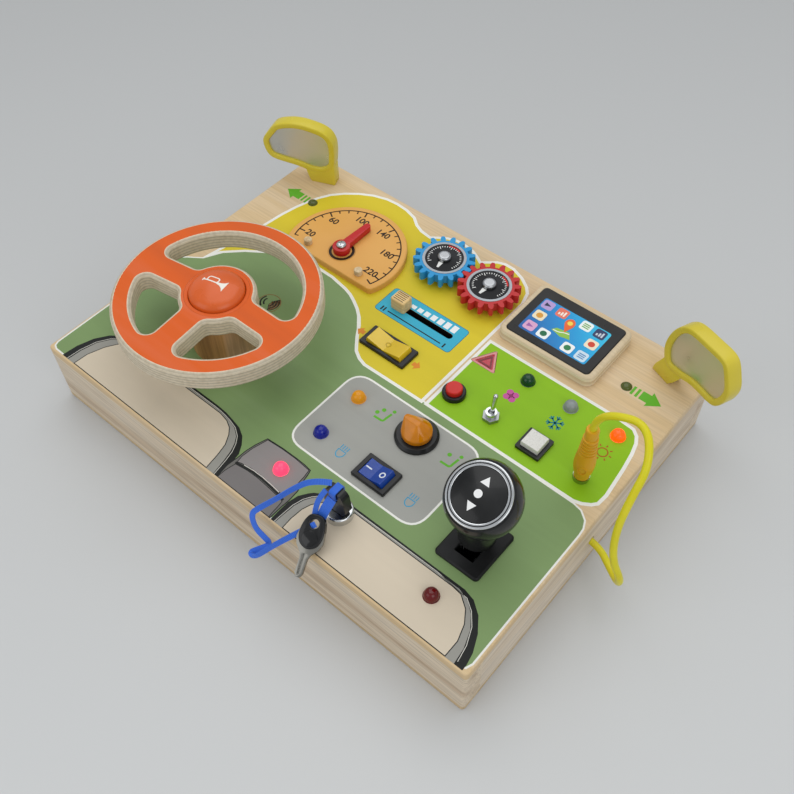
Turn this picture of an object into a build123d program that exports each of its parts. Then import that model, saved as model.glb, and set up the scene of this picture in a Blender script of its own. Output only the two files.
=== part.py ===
"""Wooden busy board laid out as a toy car dashboard, in millimetres.

A flat pine box carries a steering wheel with a horn button, a speed dial with a turning pointer,
a pair of meshed gears, a slider, two rocker switches, a rotary knob, two push buttons, a toggle
switch, a gear shifter, a key switch, a jack with its plug and cord, indicator lamps, a toy screen
and two wing mirrors. The origin is the centre of the box's underside, +X runs to the right,
+Y runs away from the child and +Z points up.
"""
import os
from math import acos, atan2, cos, degrees, hypot, pi, radians, sin, sqrt, tan

from build123d import *

os.makedirs("parts", exist_ok=True)

# ---------------------------------------------------------------- box
BOARD_LENGTH = 285.0
BOARD_DEPTH = 210.0
BOARD_HEIGHT = 42.0
CORNER_RADIUS = 2.0
EDGE_ROUND = 1.2
TOP_THICKNESS = 5.0
BOTTOM_THICKNESS = 4.0
RAIL_WIDTH = 12.0
PANEL_UNDER = BOARD_HEIGHT - TOP_THICKNESS
RAIL_HEIGHT = PANEL_UNDER - BOTTOM_THICKNESS
BOARD_FRONT = -BOARD_DEPTH / 2
BOARD_BACK = BOARD_DEPTH / 2
BOARD_RIGHT = BOARD_LENGTH / 2

SCREW_SHANK_RADIUS = 1.5
SCREW_HEAD_RADIUS = 3.0
SCREW_LENGTH = 16.0
DOOR_SCREW_RUN_OUT = 2.0      # battery door screw beyond the box it bites into
LONG_RAIL_SCREW_SPACING = 125.0
SIDE_RAIL_SCREW_SPACING = 110.0

# running clearances
TURN_CLEARANCE = 0.06        # radial, shaft in bore
SLIDE_CLEARANCE = 0.15       # each side, plunger in its well
SEAT_CLEARANCE = 0.2         # body of a switch in its panel hole
FACE_GAP = 0.3               # between a turning face and the face under it

# ---------------------------------------------------------------- battery box, speaker, circuit board
BATTERY_X, BATTERY_INSET = -66.0, 61.0      # insets run from the board's front or back edge
BATTERY_Y = BOARD_BACK - BATTERY_INSET
BATTERY_RADIUS = 7.0
BATTERY_LENGTH = 50.0
BATTERY_COUNT = 3
BATTERY_PITCH = 15.4
BATTERY_WALL = 2.0
BATTERY_FLANGE = 5.0
BATTERY_END_ROOM, BATTERY_SIDE_ROOM, BATTERY_HEAD_ROOM = 6.0, 1.0, 1.5
DOOR_CLEARANCE = 0.3
DOOR_TAB = 9.0
BATTERY_NUB_RADIUS, BATTERY_NUB_LENGTH = 2.6, 1.0

SPEAKER_X, SPEAKER_INSET = -71.2, 98.7
SPEAKER_Y = BOARD_FRONT + SPEAKER_INSET
SPEAKER_RADIUS = 14.0
SPEAKER_RIM = 2.5
SPEAKER_CONE_WALL = 1.0
SPEAKER_MAGNET_RADIUS = 7.5
SPEAKER_DEPTH = 9.0
SOUND_SLOT_RADII = (2.07, 3.795, 5.52)
SOUND_SLOT_WIDTH = 1.1
SOUND_SLOT_REACH = 50.0       # degrees each way
SOUND_SLOT_SHIFT = 2.0       # centre of the slots to the left of the speaker's

CIRCUIT_X, CIRCUIT_INSET = 82.0, 83.0
CIRCUIT_Y = BOARD_FRONT + CIRCUIT_INSET
CIRCUIT_LENGTH, CIRCUIT_WIDTH, CIRCUIT_THICKNESS = 72.0, 46.0, 1.6
STANDOFF_HEIGHT, STANDOFF_RADIUS = 4.0, 2.5
STANDOFF_INSET = 4.0
CHIP_LENGTH, CHIP_WIDTH, CHIP_HEIGHT = 16.0, 10.0, 2.0
CHIP_OFFSET = 12.0
TERMINAL_LENGTH, TERMINAL_WIDTH, TERMINAL_HEIGHT = 24.0, 8.0, 8.0
TERMINAL_OFFSET = 14.0

# ---------------------------------------------------------------- steering wheel
WHEEL_X, WHEEL_INSET = -71.4, 65.7
WHEEL_Y = BOARD_FRONT + WHEEL_INSET
WHEEL_RADIUS = 54.6
WHEEL_THICKNESS = 11.7
WHEEL_UNDER = 66.3
WHEEL_TURN = 4.5             # degrees the wheel stands turned at rest
WHEEL_ROUND = 2.2
OPENING_OUTER_RADIUS = 43.6
WHEEL_HUB_RADIUS = 20.3
SPOKE_WIDTH = 16.4
SPOKE_DROOP = 4.5            # degrees that the two side spokes hang below level
OPENING_CORNER = 4.5
PEDESTAL_RADIUS = 18.7
HORN_RADIUS = 16.9
HORN_POCKET_FLOOR = 4.0
HORN_SKIRT_WALL = 2.5
HORN_TRAVEL = 2.5
HORN_RIM_HEIGHT = 1.6        # straight rim of the button above the wheel's face
HORN_DOME_HEIGHT = 4.4
HORN_ROOF = 2.5
SLEEVE_RADIUS = 6.0
SLEEVE_BORE = 3.0
SLEEVE_FLANGE_RADIUS = 11.0
SLEEVE_FLANGE_THICKNESS = 2.0
SLEEVE_NUT_FLATS = 18.0
SLEEVE_NUT_HEIGHT = 4.0
SLEEVE_RUN_OUT = 2.0          # sleeve below its nut
SPRING_RADIUS = 8.0
SPRING_WIRE_RADIUS = 0.35
SPRING_TURNS = 3

# ---------------------------------------------------------------- speed dial
DIAL_X, DIAL_INSET = -66.3, 55.6
DIAL_Y = BOARD_BACK - DIAL_INSET
DIAL_RADIUS = 36.0
DIAL_THICKNESS = 4.0
DIAL_FLAT = 16.0             # distance from the dial's centre to its straight lower edge
DIAL_CORNER = 3.0
DIAL_ROUND = 0.9
PIVOT_DROP = 2.8             # the pointer's pivot lies this far below the dial's centre
PEG_SPREAD, PEG_DROP = 19.5, 7.5
PEG_RADIUS, PEG_HEIGHT, PEG_DEPTH, PEG_ROUND = 2.4, 3.4, 2.0, 0.6
POINTER_HUB_RADIUS = 6.2
POINTER_TIP_RADIUS = 2.1
POINTER_LENGTH = 23.8
POINTER_THICKNESS = 4.2
POINTER_ROUND = 0.8
POINTER_ANGLE = 89.0
POINTER_SCREW_RADIUS = 1.6
POINTER_SCREW_HEAD_RADIUS = 2.9
POINTER_SCREW_HEAD_HEIGHT = 1.5
POINTER_SCREW_ROUND = 0.7
POINTER_SCREW_LENGTH = 18.0

# ---------------------------------------------------------------- gears
GEAR_BLUE_X, GEAR_BLUE_INSET = -14.0, 29.4
GEAR_RED_X, GEAR_RED_INSET = 18.2, 30.3
GEAR_BLUE_Y = BOARD_BACK - GEAR_BLUE_INSET
GEAR_RED_Y = BOARD_BACK - GEAR_RED_INSET
GEAR_TEETH = 17
GEAR_TIP_RADIUS = 17.7
GEAR_ROOT_RADIUS = 14.1
GEAR_PRESSURE_ANGLE = 20.0
GEAR_BACKLASH = 0.3
GEAR_TOOTH_ROUND = 0.45
GEAR_THICKNESS = 5.6
GEAR_LIFT = 3.4
GEAR_BOSS_RADIUS = 5.0
GEAR_BLUE_PHASE = 88.8       # direction of one blue tooth at rest
GEAR_BOLT_RADIUS = 2.5
GEAR_BOLT_HEAD_RADIUS = 3.9
GEAR_BOLT_HEAD_HEIGHT = 2.4
GEAR_BOLT_ROUND = 1.6
GEAR_BOLT_LENGTH = 22.0
GEAR_NUT_FLATS = 8.0
GEAR_NUT_HEIGHT = 4.0

# ---------------------------------------------------------------- slider
SLIDER_X, SLIDER_INSET = 0.5, 67.1
SLIDER_Y = BOARD_BACK - SLIDER_INSET
SLOT_LENGTH, SLOT_WIDTH = 42.2, 3.9
SLIDER_KNOB_X = -14.0
SLIDER_KNOB_LENGTH, SLIDER_KNOB_WIDTH, SLIDER_KNOB_HEIGHT = 9.5, 8.0, 7.7
SLIDER_KNOB_CORNER, SLIDER_KNOB_ROUND = 1.2, 1.1
SLIDER_STEM_LENGTH = 5.0
SLIDER_RETAINER_LENGTH, SLIDER_RETAINER_WIDTH, SLIDER_RETAINER_HEIGHT = 8.0, 10.0, 2.0

# ---------------------------------------------------------------- rocker switches
YELLOW_X, YELLOW_Y = 0.0, 10.8
YELLOW_BEZEL_LENGTH, YELLOW_BEZEL_WIDTH = 30.4, 14.0
YELLOW_ROCKER_RADIUS, YELLOW_ROCKER_WIDTH = 12.0, 9.6
YELLOW_END_RISE = 4.6        # top of the rocker's ends above its pivot
YELLOW_TILT = 0.0
BLUE_X, BLUE_INSET = 48.1, 51.0
BLUE_Y = BOARD_FRONT + BLUE_INSET
BLUE_BEZEL_LENGTH, BLUE_BEZEL_WIDTH = 20.7, 15.0
BLUE_ROCKER_RADIUS, BLUE_ROCKER_WIDTH = 7.6, 10.0
BLUE_END_RISE = 3.2
BLUE_TILT = -9.0
BEZEL_HEIGHT = 2.0
BEZEL_CORNER, BEZEL_ROUND = 0.7, 0.6
BEZEL_LAP = 0.8              # how far a bezel laps over the panel
ROCKER_PIVOT_DROP = 1.6      # pivot below the bezel's top
ROCKER_WAIST_RISE = 1.9      # top of the rocker's waist above its pivot
ROCKER_BELLY_DROP = 3.0      # underside of the rocker below its pivot
ROCKER_WELL_DEPTH = 9.0
ROCKER_BODY_DEPTH = 20.0
ROCKER_PIN_RADIUS = 1.2
ROCKER_PIN_LENGTH = 0.9
ROCKER_CLEARANCE = 0.25
ROCKER_PIN_CLEARANCE = 0.1   # each end of the pivot pins
ROCKER_ROUND = 0.5
TERMINAL_BLADE = (0.8, 4.8, 7.0)

# ---------------------------------------------------------------- rotary knob
ROTARY_X, ROTARY_INSET = 48.3, 81.0
ROTARY_Y = BOARD_FRONT + ROTARY_INSET
ROTARY_BEZEL_RADIUS, ROTARY_BEZEL_HEIGHT, ROTARY_BEZEL_CHAMFER = 11.3, 2.6, 1.2
ROTARY_BARREL_RADIUS, ROTARY_BARREL_DEPTH = 8.0, 17.0
ROTARY_KNOB_RADIUS, ROTARY_SKIRT_HEIGHT = 8.1, 4.0
ROTARY_GRIP_REACH, ROTARY_GRIP_WIDTH, ROTARY_GRIP_HEIGHT = 10.0, 3.4, 9.4
ROTARY_GRIP_ANGLE = 150.0
ROTARY_RIDGE_HEEL, ROTARY_RIDGE_HEEL_RADIUS = 2.0, 2.2
ROTARY_RIDGE_SET_BACK, ROTARY_RIDGE_TAPER = 0.8, 0.4
ROTARY_SHAFT_RADIUS, ROTARY_SHAFT_DEPTH, ROTARY_SHAFT_ROOM = 3.0, 12.0, 1.0

# ---------------------------------------------------------------- push buttons and toggle
CONTROL_ROW_Y = 8.7
RED_BUTTON_X = 46.0
RED_BASE_RADIUS, RED_BASE_HEIGHT, RED_BASE_ROUND = 6.3, 3.0, 0.9
RED_BARREL_RADIUS, RED_BARREL_DEPTH = 5.0, 16.0
RED_CAP_RADIUS, RED_CAP_HEIGHT, RED_CAP_ROUND = 4.4, 5.8, 0.8
RED_NUT_FLATS, RED_NUT_HEIGHT = 15.0, 2.5
WHITE_BUTTON_X = 96.1
WHITE_BASE_SIZE, WHITE_BASE_HEIGHT, WHITE_BASE_CORNER = 14.0, 2.0, 0.6
WHITE_BODY_SIZE, WHITE_BODY_DEPTH = 12.0, 15.0
WHITE_CAP_SIZE, WHITE_CAP_HEIGHT, WHITE_CAP_ROUND = 10.0, 5.0, 0.4
BUTTON_TRAVEL = 2.5
BUTTON_STEM_DEPTH = 6.0      # how far a cap's plunger reaches below its base's top
TOGGLE_X = 69.5
TOGGLE_NUT_FLATS, TOGGLE_NUT_HEIGHT = 8.0, 2.2
TOGGLE_BUSH_RADIUS, TOGGLE_BUSH_HEIGHT = 3.0, 5.1
TOGGLE_PIVOT_DROP = 2.6      # pivot below the bush's top
TOGGLE_BODY_LENGTH, TOGGLE_BODY_WIDTH, TOGGLE_BODY_DEPTH = 8.0, 13.0, 12.0
TOGGLE_LEAN = 12.0
TOGGLE_BALL_RADIUS = 1.8
TOGGLE_MOUTH_RADIUS, TOGGLE_MOUTH_TOP_RADIUS, TOGGLE_MOUTH_RISE = 1.5, 2.0, 1.1
TOGGLE_LEVER_RADIUS = 1.0
TOGGLE_TIP_RADIUS = 1.3
TOGGLE_LEVER_LENGTH = 12.6

# ---------------------------------------------------------------- shifter
SHIFTER_X, SHIFTER_INSET = 107.2, 51.3
SHIFTER_Y = BOARD_FRONT + SHIFTER_INSET
SHIFTER_BASE_LENGTH, SHIFTER_BASE_WIDTH, SHIFTER_BASE_HEIGHT = 29.5, 24.5, 2.0
SHIFTER_BASE_CORNER, SHIFTER_BASE_CHAMFER = 2.0, 0.8
SHIFTER_BOX_LENGTH, SHIFTER_BOX_WIDTH, SHIFTER_BOX_DEPTH = 24.0, 18.0, 20.0
SHIFTER_SWING = 12.0         # degrees each way
SHIFTER_STEM_RADIUS = 5.0
SHIFTER_SLOT_CLEARANCE, SHIFTER_SLOT_END_ROOM = 0.4, 0.5
SHIFTER_STEM_STEP = 1.0      # upper end of the stem is this much thinner
SHIFTER_WALL = 1.5
SHIFTER_PIVOT_DEPTH = 8.0    # pivot below the panel's face
SHIFTER_PIN_RADIUS, SHIFTER_PIN_LENGTH, SHIFTER_PIN_CLEARANCE = 2.5, 16.0, 0.2
SHIFTER_BOSS_STEP = 0.5      # pivot boss narrower than the stem at each side
SHIFTER_BALL_RADIUS = 17.7
SHIFTER_BALL_RISE = 36.2     # ball's centre above the panel's face
SHIFTER_BALL_SET_BACK = 3.4  # ball's centre behind the pivot
SHIFTER_FACE_TILT = 25.0
SHIFTER_FACE_OFFSET = 8.0    # sloped face from the ball's centre
SHIFTER_NECK_RADIUS, SHIFTER_NECK_TOP_RADIUS = 9.0, 11.5
SHIFTER_NECK_RISE = 8.0      # neck's lower end above the panel's face
SHIFTER_NECK_TOP = 24.0
SHIFTER_RING_RADIUS, SHIFTER_RING_WIDTH, SHIFTER_RING_HEIGHT = 14.9, 2.7, 1.6
SHIFTER_RING_ROUND = 0.6
SHIFTER_BADGE_DOME = 1.6

# ---------------------------------------------------------------- key switch and keys
LOCK_X, LOCK_INSET = 48.5, 24.0
LOCK_Y = BOARD_FRONT + LOCK_INSET
LOCK_FLANGE_RADIUS, LOCK_FLANGE_HEIGHT, LOCK_FLANGE_ROUND = 7.0, 4.4, 1.0
LOCK_BARREL_RADIUS, LOCK_BARREL_DEPTH = 5.6, 22.0
LOCK_NUT_FLATS, LOCK_NUT_HEIGHT = 15.0, 3.0
LOCK_CORE_RADIUS, LOCK_CORE_DEPTH = 4.4, 14.0
KEY_HEAD_WIDTH, KEY_HEAD_LENGTH, KEY_HEAD_THICKNESS = 13.4, 16.0, 4.6
KEY_HEAD_TOP_WIDTH = 10.5
KEY_HEAD_CORNER = 3.5
KEY_SHOULDER_INSET, KEY_SHOULDER_HEIGHT = 2.5, 4.0
KEY_HOLE_RADIUS = 2.3
KEY_HOLE_INSET = 4.6
KEY_BLADE_WIDTH, KEY_BLADE_THICKNESS, KEY_BLADE_LENGTH = 4.6, 1.8, 13.5
KEY_BLADE_POINT = 2.0
KEY_TANG = 4.0               # blade inside the head
KEY_SLOT_CLEARANCE = 0.1
KEY_LIFT = 0.6               # head above the core's face
SPARE_KEY_HEAD_OFFSET = (-1.6, -11.0, 53.4)      # from the lock's axis, height from the table
SPARE_KEY_TIP_OFFSET = (6.4, -35.4, 38.9)
LOOP_WIDTH, LOOP_GAP, LOOP_CORNER = 3.6, 0.4, 1.4
RIBBON_WIDTH, RIBBON_THICKNESS = 3.6, 0.8
RIBBON_START_OFFSET = (-2.5, 0.0, 66.3)
RIBBON_ACROSS = (0.938, 0.0, -0.346)
RIBBON_FACING = (0.254, -0.677, 0.691)
RIBBON_TURN = 4.0
RIBBON_ROUTE = [             # flat, in the ribbon's own plane, from the lock's key to the spare key
    (0.0, 0.0),
    (-11.0, -12.0),
    (-17.5, -33.0),
    (-5.0, -48.0),
    (-0.7, -22.3),
]

# ---------------------------------------------------------------- jack, plug and cord
JACK_INSET, JACK_Y = 18.5, 7.8
JACK_X = BOARD_RIGHT - JACK_INSET
JACK_NUT_RADIUS, JACK_NUT_HEIGHT = 4.1, 2.8
JACK_BARREL_RADIUS = 3.0
JACK_BODY_RADIUS, JACK_BODY_DEPTH = 5.0, 14.0
PLUG_PIN_RADIUS, PLUG_PIN_LENGTH, PLUG_PIN_ROOM = 1.75, 14.0, 1.0
PLUG_PIN_TAPER, PLUG_PIN_TAPER_LENGTH = 0.6, 1.2
PLUG_COLLAR_RADIUS, PLUG_BELLY_RADIUS, PLUG_NECK_RADIUS = 3.9, 5.2, 3.4
PLUG_COLLAR_HEIGHT, PLUG_BELLY_RISE, PLUG_HEIGHT = 1.6, 9.0, 36.9
CORD_RADIUS = 1.8
CORD_HOLE_RADIUS = 2.2
CORD_HOLE_Y, CORD_HOLE_Z = -5.7, 21.0
CORD_KNOT_RADIUS = 3.6
CORD_ROUTE = [               # from inside the right-hand rail, up and over into the plug
    (134.0, -5.7, 21.0),
    (146.5, -5.7, 21.0),
    (157.4, -11.1, 17.3),
    (164.9, -17.6, 22.0),
    (166.1, -21.1, 33.1),
    (159.9, -22.9, 48.1),
    (156.7, -20.2, 66.5),
    (156.5, -14.0, 83.7),
    (156.2, -3.0, 97.2),
    (146.4, 8.7, 104.9),
    (130.6, 7.5, 99.2),
    (124.0, 7.8, 88.6),
    (124.0, 7.8, 82.0),
]

# ---------------------------------------------------------------- lamps
LAMP_RADIUS = 4.0
LAMP_FLANGE_LAP, LAMP_FLANGE_HEIGHT = 0.7, 1.2
LAMP_COLLAR = 0.6            # straight wall above the panel's face
LAMP_LEG_LENGTH, LAMP_LEG_WIDTH, LAMP_LEG_SPREAD = 9.0, 0.6, 2.5
LAMP_ROW_INSET = 65.5
LAMP_ROW_Y = BOARD_BACK - LAMP_ROW_INSET
LAMP_COLUMN_X = 10.2
GREEN_LAMP_X, CLEAR_LAMP_X, ORANGE_LAMP_INSET = 70.4, 96.8, 17.8
ORANGE_LAMP_X = BOARD_RIGHT - ORANGE_LAMP_INSET
AMBER_LAMP_INSET, BLUE_LAMP_INSET, RED_LAMP_INSET = 80.4, 52.2, 23.8
SEAT_LAMP_X, SEAT_LAMP_INSET = 107.9, 19.1
TURN_LAMP_RADIUS, TURN_LAMP_DOME, TURN_LAMP_TAPER = 2.7, 1.2, 35.0
TURN_LAMP_X, TURN_LAMP_INSET = 111.2, 35.9
TURN_LAMP_Y = BOARD_BACK - TURN_LAMP_INSET
HAZARD_X, HAZARD_INSET, HAZARD_SIZE, HAZARD_CORNER = 46.0, 68.1, 9.6, 1.2
HAZARD_Y = BOARD_BACK - HAZARD_INSET
HAZARD_CLEARANCE, HAZARD_SINK, HAZARD_FLANGE = 0.3, 0.5, 1.5

# ---------------------------------------------------------------- toy screen
SCREEN_X, SCREEN_INSET = 68.0, 28.7
SCREEN_Y = BOARD_BACK - SCREEN_INSET
SCREEN_LENGTH, SCREEN_WIDTH, SCREEN_HEIGHT = 59.0, 43.4, 6.6
SCREEN_CORNER, SCREEN_ROUND = 5.0, 1.8
GLASS_LENGTH, GLASS_WIDTH, GLASS_THICKNESS = 52.3, 38.4, 2.0
GLASS_CORNER, GLASS_PROUD = 2.6, 0.6
GLASS_CLEARANCE = 0.1
GLASS_CHAMFER = 0.4

# ---------------------------------------------------------------- wing mirrors
MIRROR_SIDE_INSET, MIRROR_BACK_INSET = 22.7, 19.0
MIRROR_X = BOARD_RIGHT - MIRROR_SIDE_INSET
MIRROR_Y = BOARD_BACK - MIRROR_BACK_INSET
MIRROR_YAW = 22.0
MIRROR_THICKNESS = 8.2
MIRROR_ROUND = 1.0
MIRROR_BORDER = 3.9
MIRROR_RECESS = 2.2
MIRROR_GLASS_THICKNESS = 1.7
MIRROR_GLASS_CLEARANCE = 0.2
MIRROR_DOWEL_RADIUS, MIRROR_DOWEL_DEPTH = 2.5, 4.0
MIRROR_HEAD = [              # outward and upward from the foot's inner front corner's level
    (-7.6, 17.0),
    (-6.6, 30.0),
    (-1.0, 41.0),
    (10.0, 44.6),
    (26.0, 44.4),
    (33.0, 41.0),
    (39.2, 28.6),
    (34.6, 14.6),
    (20.0, 12.4),
    (7.0, 10.2),
    (-5.6, 10.2),
]
MIRROR_HEAD_CORNER = 3.5
MIRROR_FOOT = [(-7.0, 0.0), (-7.0, 20.0), (9.0, 14.0), (8.5, 7.0), (6.6, 0.0)]


def polar(radius, degrees):
    """Point at this radius and angle in a plane."""
    return (radius * cos(radians(degrees)), radius * sin(radians(degrees)))


def hex_radius(flats):
    """Corner radius of a hexagon from its width across flats."""
    return flats / sqrt(3)


def dome_radius(reach, rise):
    """Radius of the sphere whose cap has this base radius and height."""
    return (reach**2 + rise**2) / (2 * rise)


def save(builder, name, place=Location()):
    """Move a finished piece to its place, label it and write its STEP file."""
    piece = builder.part.moved(place)
    piece.label = name
    export_step(piece, f"parts/{name}.step")


# ================================================================ box
POINTER_X = DIAL_X
POINTER_Y = DIAL_Y - PIVOT_DROP
CAVITY_LENGTH = BOARD_LENGTH - 2 * RAIL_WIDTH
CAVITY_DEPTH = BOARD_DEPTH - 2 * RAIL_WIDTH
LAMPS = [
    (LAMP_COLUMN_X, BOARD_FRONT + RED_LAMP_INSET),
    (LAMP_COLUMN_X, BOARD_FRONT + BLUE_LAMP_INSET),
    (LAMP_COLUMN_X, BOARD_FRONT + AMBER_LAMP_INSET),
    (SEAT_LAMP_X, BOARD_FRONT + SEAT_LAMP_INSET),
    (GREEN_LAMP_X, LAMP_ROW_Y),
    (CLEAR_LAMP_X, LAMP_ROW_Y),
    (ORANGE_LAMP_X, LAMP_ROW_Y),
]
TURN_LAMPS = [(-TURN_LAMP_X, TURN_LAMP_Y), (TURN_LAMP_X, TURN_LAMP_Y)]
MIRROR_DOWEL_X = MIRROR_X + MIRROR_THICKNESS / 2 * sin(radians(MIRROR_YAW))
MIRROR_DOWEL_Y = MIRROR_Y + MIRROR_THICKNESS / 2 * cos(radians(MIRROR_YAW))
MIRROR_DOWELS = [(-MIRROR_DOWEL_X, MIRROR_DOWEL_Y), (MIRROR_DOWEL_X, MIRROR_DOWEL_Y)]
HAZARD_POINTS = [polar(HAZARD_SIZE, angle) for angle in (90, 210, 330)]

round_holes = [
    ([(WHEEL_X, WHEEL_Y)], SLEEVE_RADIUS + SEAT_CLEARANCE),
    ([(POINTER_X, POINTER_Y)], POINTER_SCREW_RADIUS),
    ([(GEAR_BLUE_X, GEAR_BLUE_Y), (GEAR_RED_X, GEAR_RED_Y)], GEAR_BOLT_RADIUS),
    ([(ROTARY_X, ROTARY_Y)], ROTARY_BARREL_RADIUS + SEAT_CLEARANCE),
    ([(RED_BUTTON_X, CONTROL_ROW_Y)], RED_BARREL_RADIUS + SEAT_CLEARANCE),
    ([(TOGGLE_X, CONTROL_ROW_Y)], TOGGLE_BUSH_RADIUS + SEAT_CLEARANCE),
    ([(LOCK_X, LOCK_Y)], LOCK_BARREL_RADIUS + SEAT_CLEARANCE),
    ([(JACK_X, JACK_Y)], JACK_BARREL_RADIUS + SEAT_CLEARANCE),
    (TURN_LAMPS, TURN_LAMP_RADIUS + SEAT_CLEARANCE),
    (MIRROR_DOWELS, MIRROR_DOWEL_RADIUS),
    (LAMPS, LAMP_RADIUS + SEAT_CLEARANCE),
]

square_holes = [
    ((YELLOW_X, YELLOW_Y), YELLOW_BEZEL_LENGTH - 2 * BEZEL_LAP, YELLOW_BEZEL_WIDTH - 2 * BEZEL_LAP),
    ((BLUE_X, BLUE_Y), BLUE_BEZEL_LENGTH - 2 * BEZEL_LAP, BLUE_BEZEL_WIDTH - 2 * BEZEL_LAP),
    ((WHITE_BUTTON_X, CONTROL_ROW_Y), WHITE_BODY_SIZE, WHITE_BODY_SIZE),
    ((SHIFTER_X, SHIFTER_Y), SHIFTER_BOX_WIDTH, SHIFTER_BOX_LENGTH),
]

with BuildPart() as top_panel:
    with BuildSketch(Plane.XY.offset(PANEL_UNDER)):
        RectangleRounded(BOARD_LENGTH, BOARD_DEPTH, CORNER_RADIUS)
    extrude(amount=TOP_THICKNESS)
    fillet(top_panel.faces().sort_by(Axis.Z)[-1].edges(), EDGE_ROUND)
    with BuildSketch(Plane.XY.offset(PANEL_UNDER)):
        for places, radius in round_holes:
            with Locations(*places):
                Circle(radius)
        for place, length, width in square_holes:
            with Locations(place):
                Rectangle(length + 2 * SEAT_CLEARANCE, width + 2 * SEAT_CLEARANCE)
        with Locations((SLIDER_X, SLIDER_Y)):
            SlotOverall(SLOT_LENGTH, SLOT_WIDTH)
        for radius in SOUND_SLOT_RADII:
            arc = Edge.make_circle(radius, start_angle=-SOUND_SLOT_REACH, end_angle=SOUND_SLOT_REACH)
            with Locations((SPEAKER_X - SOUND_SLOT_SHIFT, SPEAKER_Y)):
                SlotArc(arc, SOUND_SLOT_WIDTH)
    extrude(amount=TOP_THICKNESS, mode=Mode.SUBTRACT)
    with BuildSketch(Plane.XY.offset(PANEL_UNDER)) as hazard_hole:
        with Locations((HAZARD_X, HAZARD_Y)):
            Polygon(*HAZARD_POINTS, align=None)
        fillet(hazard_hole.vertices(), HAZARD_CORNER)
    extrude(amount=TOP_THICKNESS, mode=Mode.SUBTRACT)
save(top_panel, "top_panel")

long_rail_y = (BOARD_DEPTH - RAIL_WIDTH) / 2
side_rail_x = (BOARD_LENGTH - RAIL_WIDTH) / 2
bottom_screw_places = [
    (x, side * long_rail_y)
    for side in (-1, 1)
    for x in (-LONG_RAIL_SCREW_SPACING, 0, LONG_RAIL_SCREW_SPACING)
] + [
    (side * side_rail_x, y)
    for side in (-1, 1)
    for y in (-SIDE_RAIL_SCREW_SPACING / 2, SIDE_RAIL_SCREW_SPACING / 2)
]
pilot_depth = SCREW_LENGTH - BOTTOM_THICKNESS

with BuildPart() as long_rails:
    with BuildSketch(Plane.XY.offset(BOTTOM_THICKNESS)):
        RectangleRounded(BOARD_LENGTH, BOARD_DEPTH, CORNER_RADIUS)
        Rectangle(BOARD_LENGTH, CAVITY_DEPTH, mode=Mode.SUBTRACT)
    extrude(amount=RAIL_HEIGHT)
    with BuildSketch(Plane.XY.offset(BOTTOM_THICKNESS)):
        with Locations(*bottom_screw_places):
            Circle(SCREW_SHANK_RADIUS)
    extrude(amount=pilot_depth, mode=Mode.SUBTRACT)
save(long_rails, "long_rails")

with BuildPart() as side_rails:
    with BuildSketch(Plane.XY.offset(BOTTOM_THICKNESS)):
        with Locations((-side_rail_x, 0), (side_rail_x, 0)):
            Rectangle(RAIL_WIDTH, CAVITY_DEPTH)
    extrude(amount=RAIL_HEIGHT)
    with BuildSketch(Plane.XY.offset(BOTTOM_THICKNESS)):
        with Locations(*bottom_screw_places):
            Circle(SCREW_SHANK_RADIUS)
    extrude(amount=pilot_depth, mode=Mode.SUBTRACT)
    with BuildSketch(Plane.YZ.offset(CAVITY_LENGTH / 2)):
        with Locations((CORD_HOLE_Y, CORD_HOLE_Z)):
            Circle(CORD_HOLE_RADIUS)
    extrude(amount=RAIL_WIDTH, mode=Mode.SUBTRACT)
save(side_rails, "side_rails")

# ---------------------------------------------------------------- battery box
well_length = BATTERY_LENGTH + BATTERY_END_ROOM
well_width = BATTERY_COUNT * BATTERY_PITCH + BATTERY_SIDE_ROOM
well_height = 2 * BATTERY_RADIUS + BATTERY_HEAD_ROOM
door_length = well_length + 2 * BATTERY_WALL
door_width = well_width + 2 * BATTERY_WALL
battery_centre = (BATTERY_X, BATTERY_Y)
door_screw_place = (BATTERY_X + door_length / 2 + DOOR_TAB / 2, BATTERY_Y)
battery_z = BOTTOM_THICKNESS + BATTERY_RADIUS + FACE_GAP

with BuildPart() as bottom_panel:
    with BuildSketch():
        RectangleRounded(BOARD_LENGTH, BOARD_DEPTH, CORNER_RADIUS)
    extrude(amount=BOTTOM_THICKNESS)
    fillet(bottom_panel.faces().sort_by(Axis.Z)[0].edges(), EDGE_ROUND)
    with BuildSketch():
        with Locations(battery_centre):
            Rectangle(door_length, door_width)
        with Locations(door_screw_place):
            Rectangle(DOOR_TAB, DOOR_TAB)
    extrude(amount=BOTTOM_THICKNESS, mode=Mode.SUBTRACT)
    with Locations(*[Location((x, y, 0), (180, 0, 0)) for x, y in bottom_screw_places]):
        CounterSinkHole(SCREW_SHANK_RADIUS, SCREW_HEAD_RADIUS, depth=BOTTOM_THICKNESS)
save(bottom_panel, "bottom_panel")

with BuildPart() as battery_box:
    with BuildSketch(Plane.XY.offset(BOTTOM_THICKNESS)):
        with Locations(battery_centre):
            Rectangle(door_length + 2 * BATTERY_FLANGE, door_width)
        with Locations(door_screw_place):
            Rectangle(DOOR_TAB + 2 * BATTERY_WALL, DOOR_TAB + 2 * BATTERY_WALL)
    extrude(amount=BATTERY_WALL)
    with BuildSketch(Plane.XY.offset(BOTTOM_THICKNESS)):
        with Locations(battery_centre):
            Rectangle(door_length, door_width)
    extrude(amount=well_height + BATTERY_WALL)
    with BuildSketch(Plane.XY.offset(BOTTOM_THICKNESS)):
        with Locations(battery_centre):
            Rectangle(well_length, well_width)
    extrude(amount=well_height, mode=Mode.SUBTRACT)
    with Locations(Location((*door_screw_place, BOTTOM_THICKNESS), (180, 0, 0))):
        Hole(SCREW_SHANK_RADIUS, depth=BATTERY_WALL)
save(battery_box, "battery_box")

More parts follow.
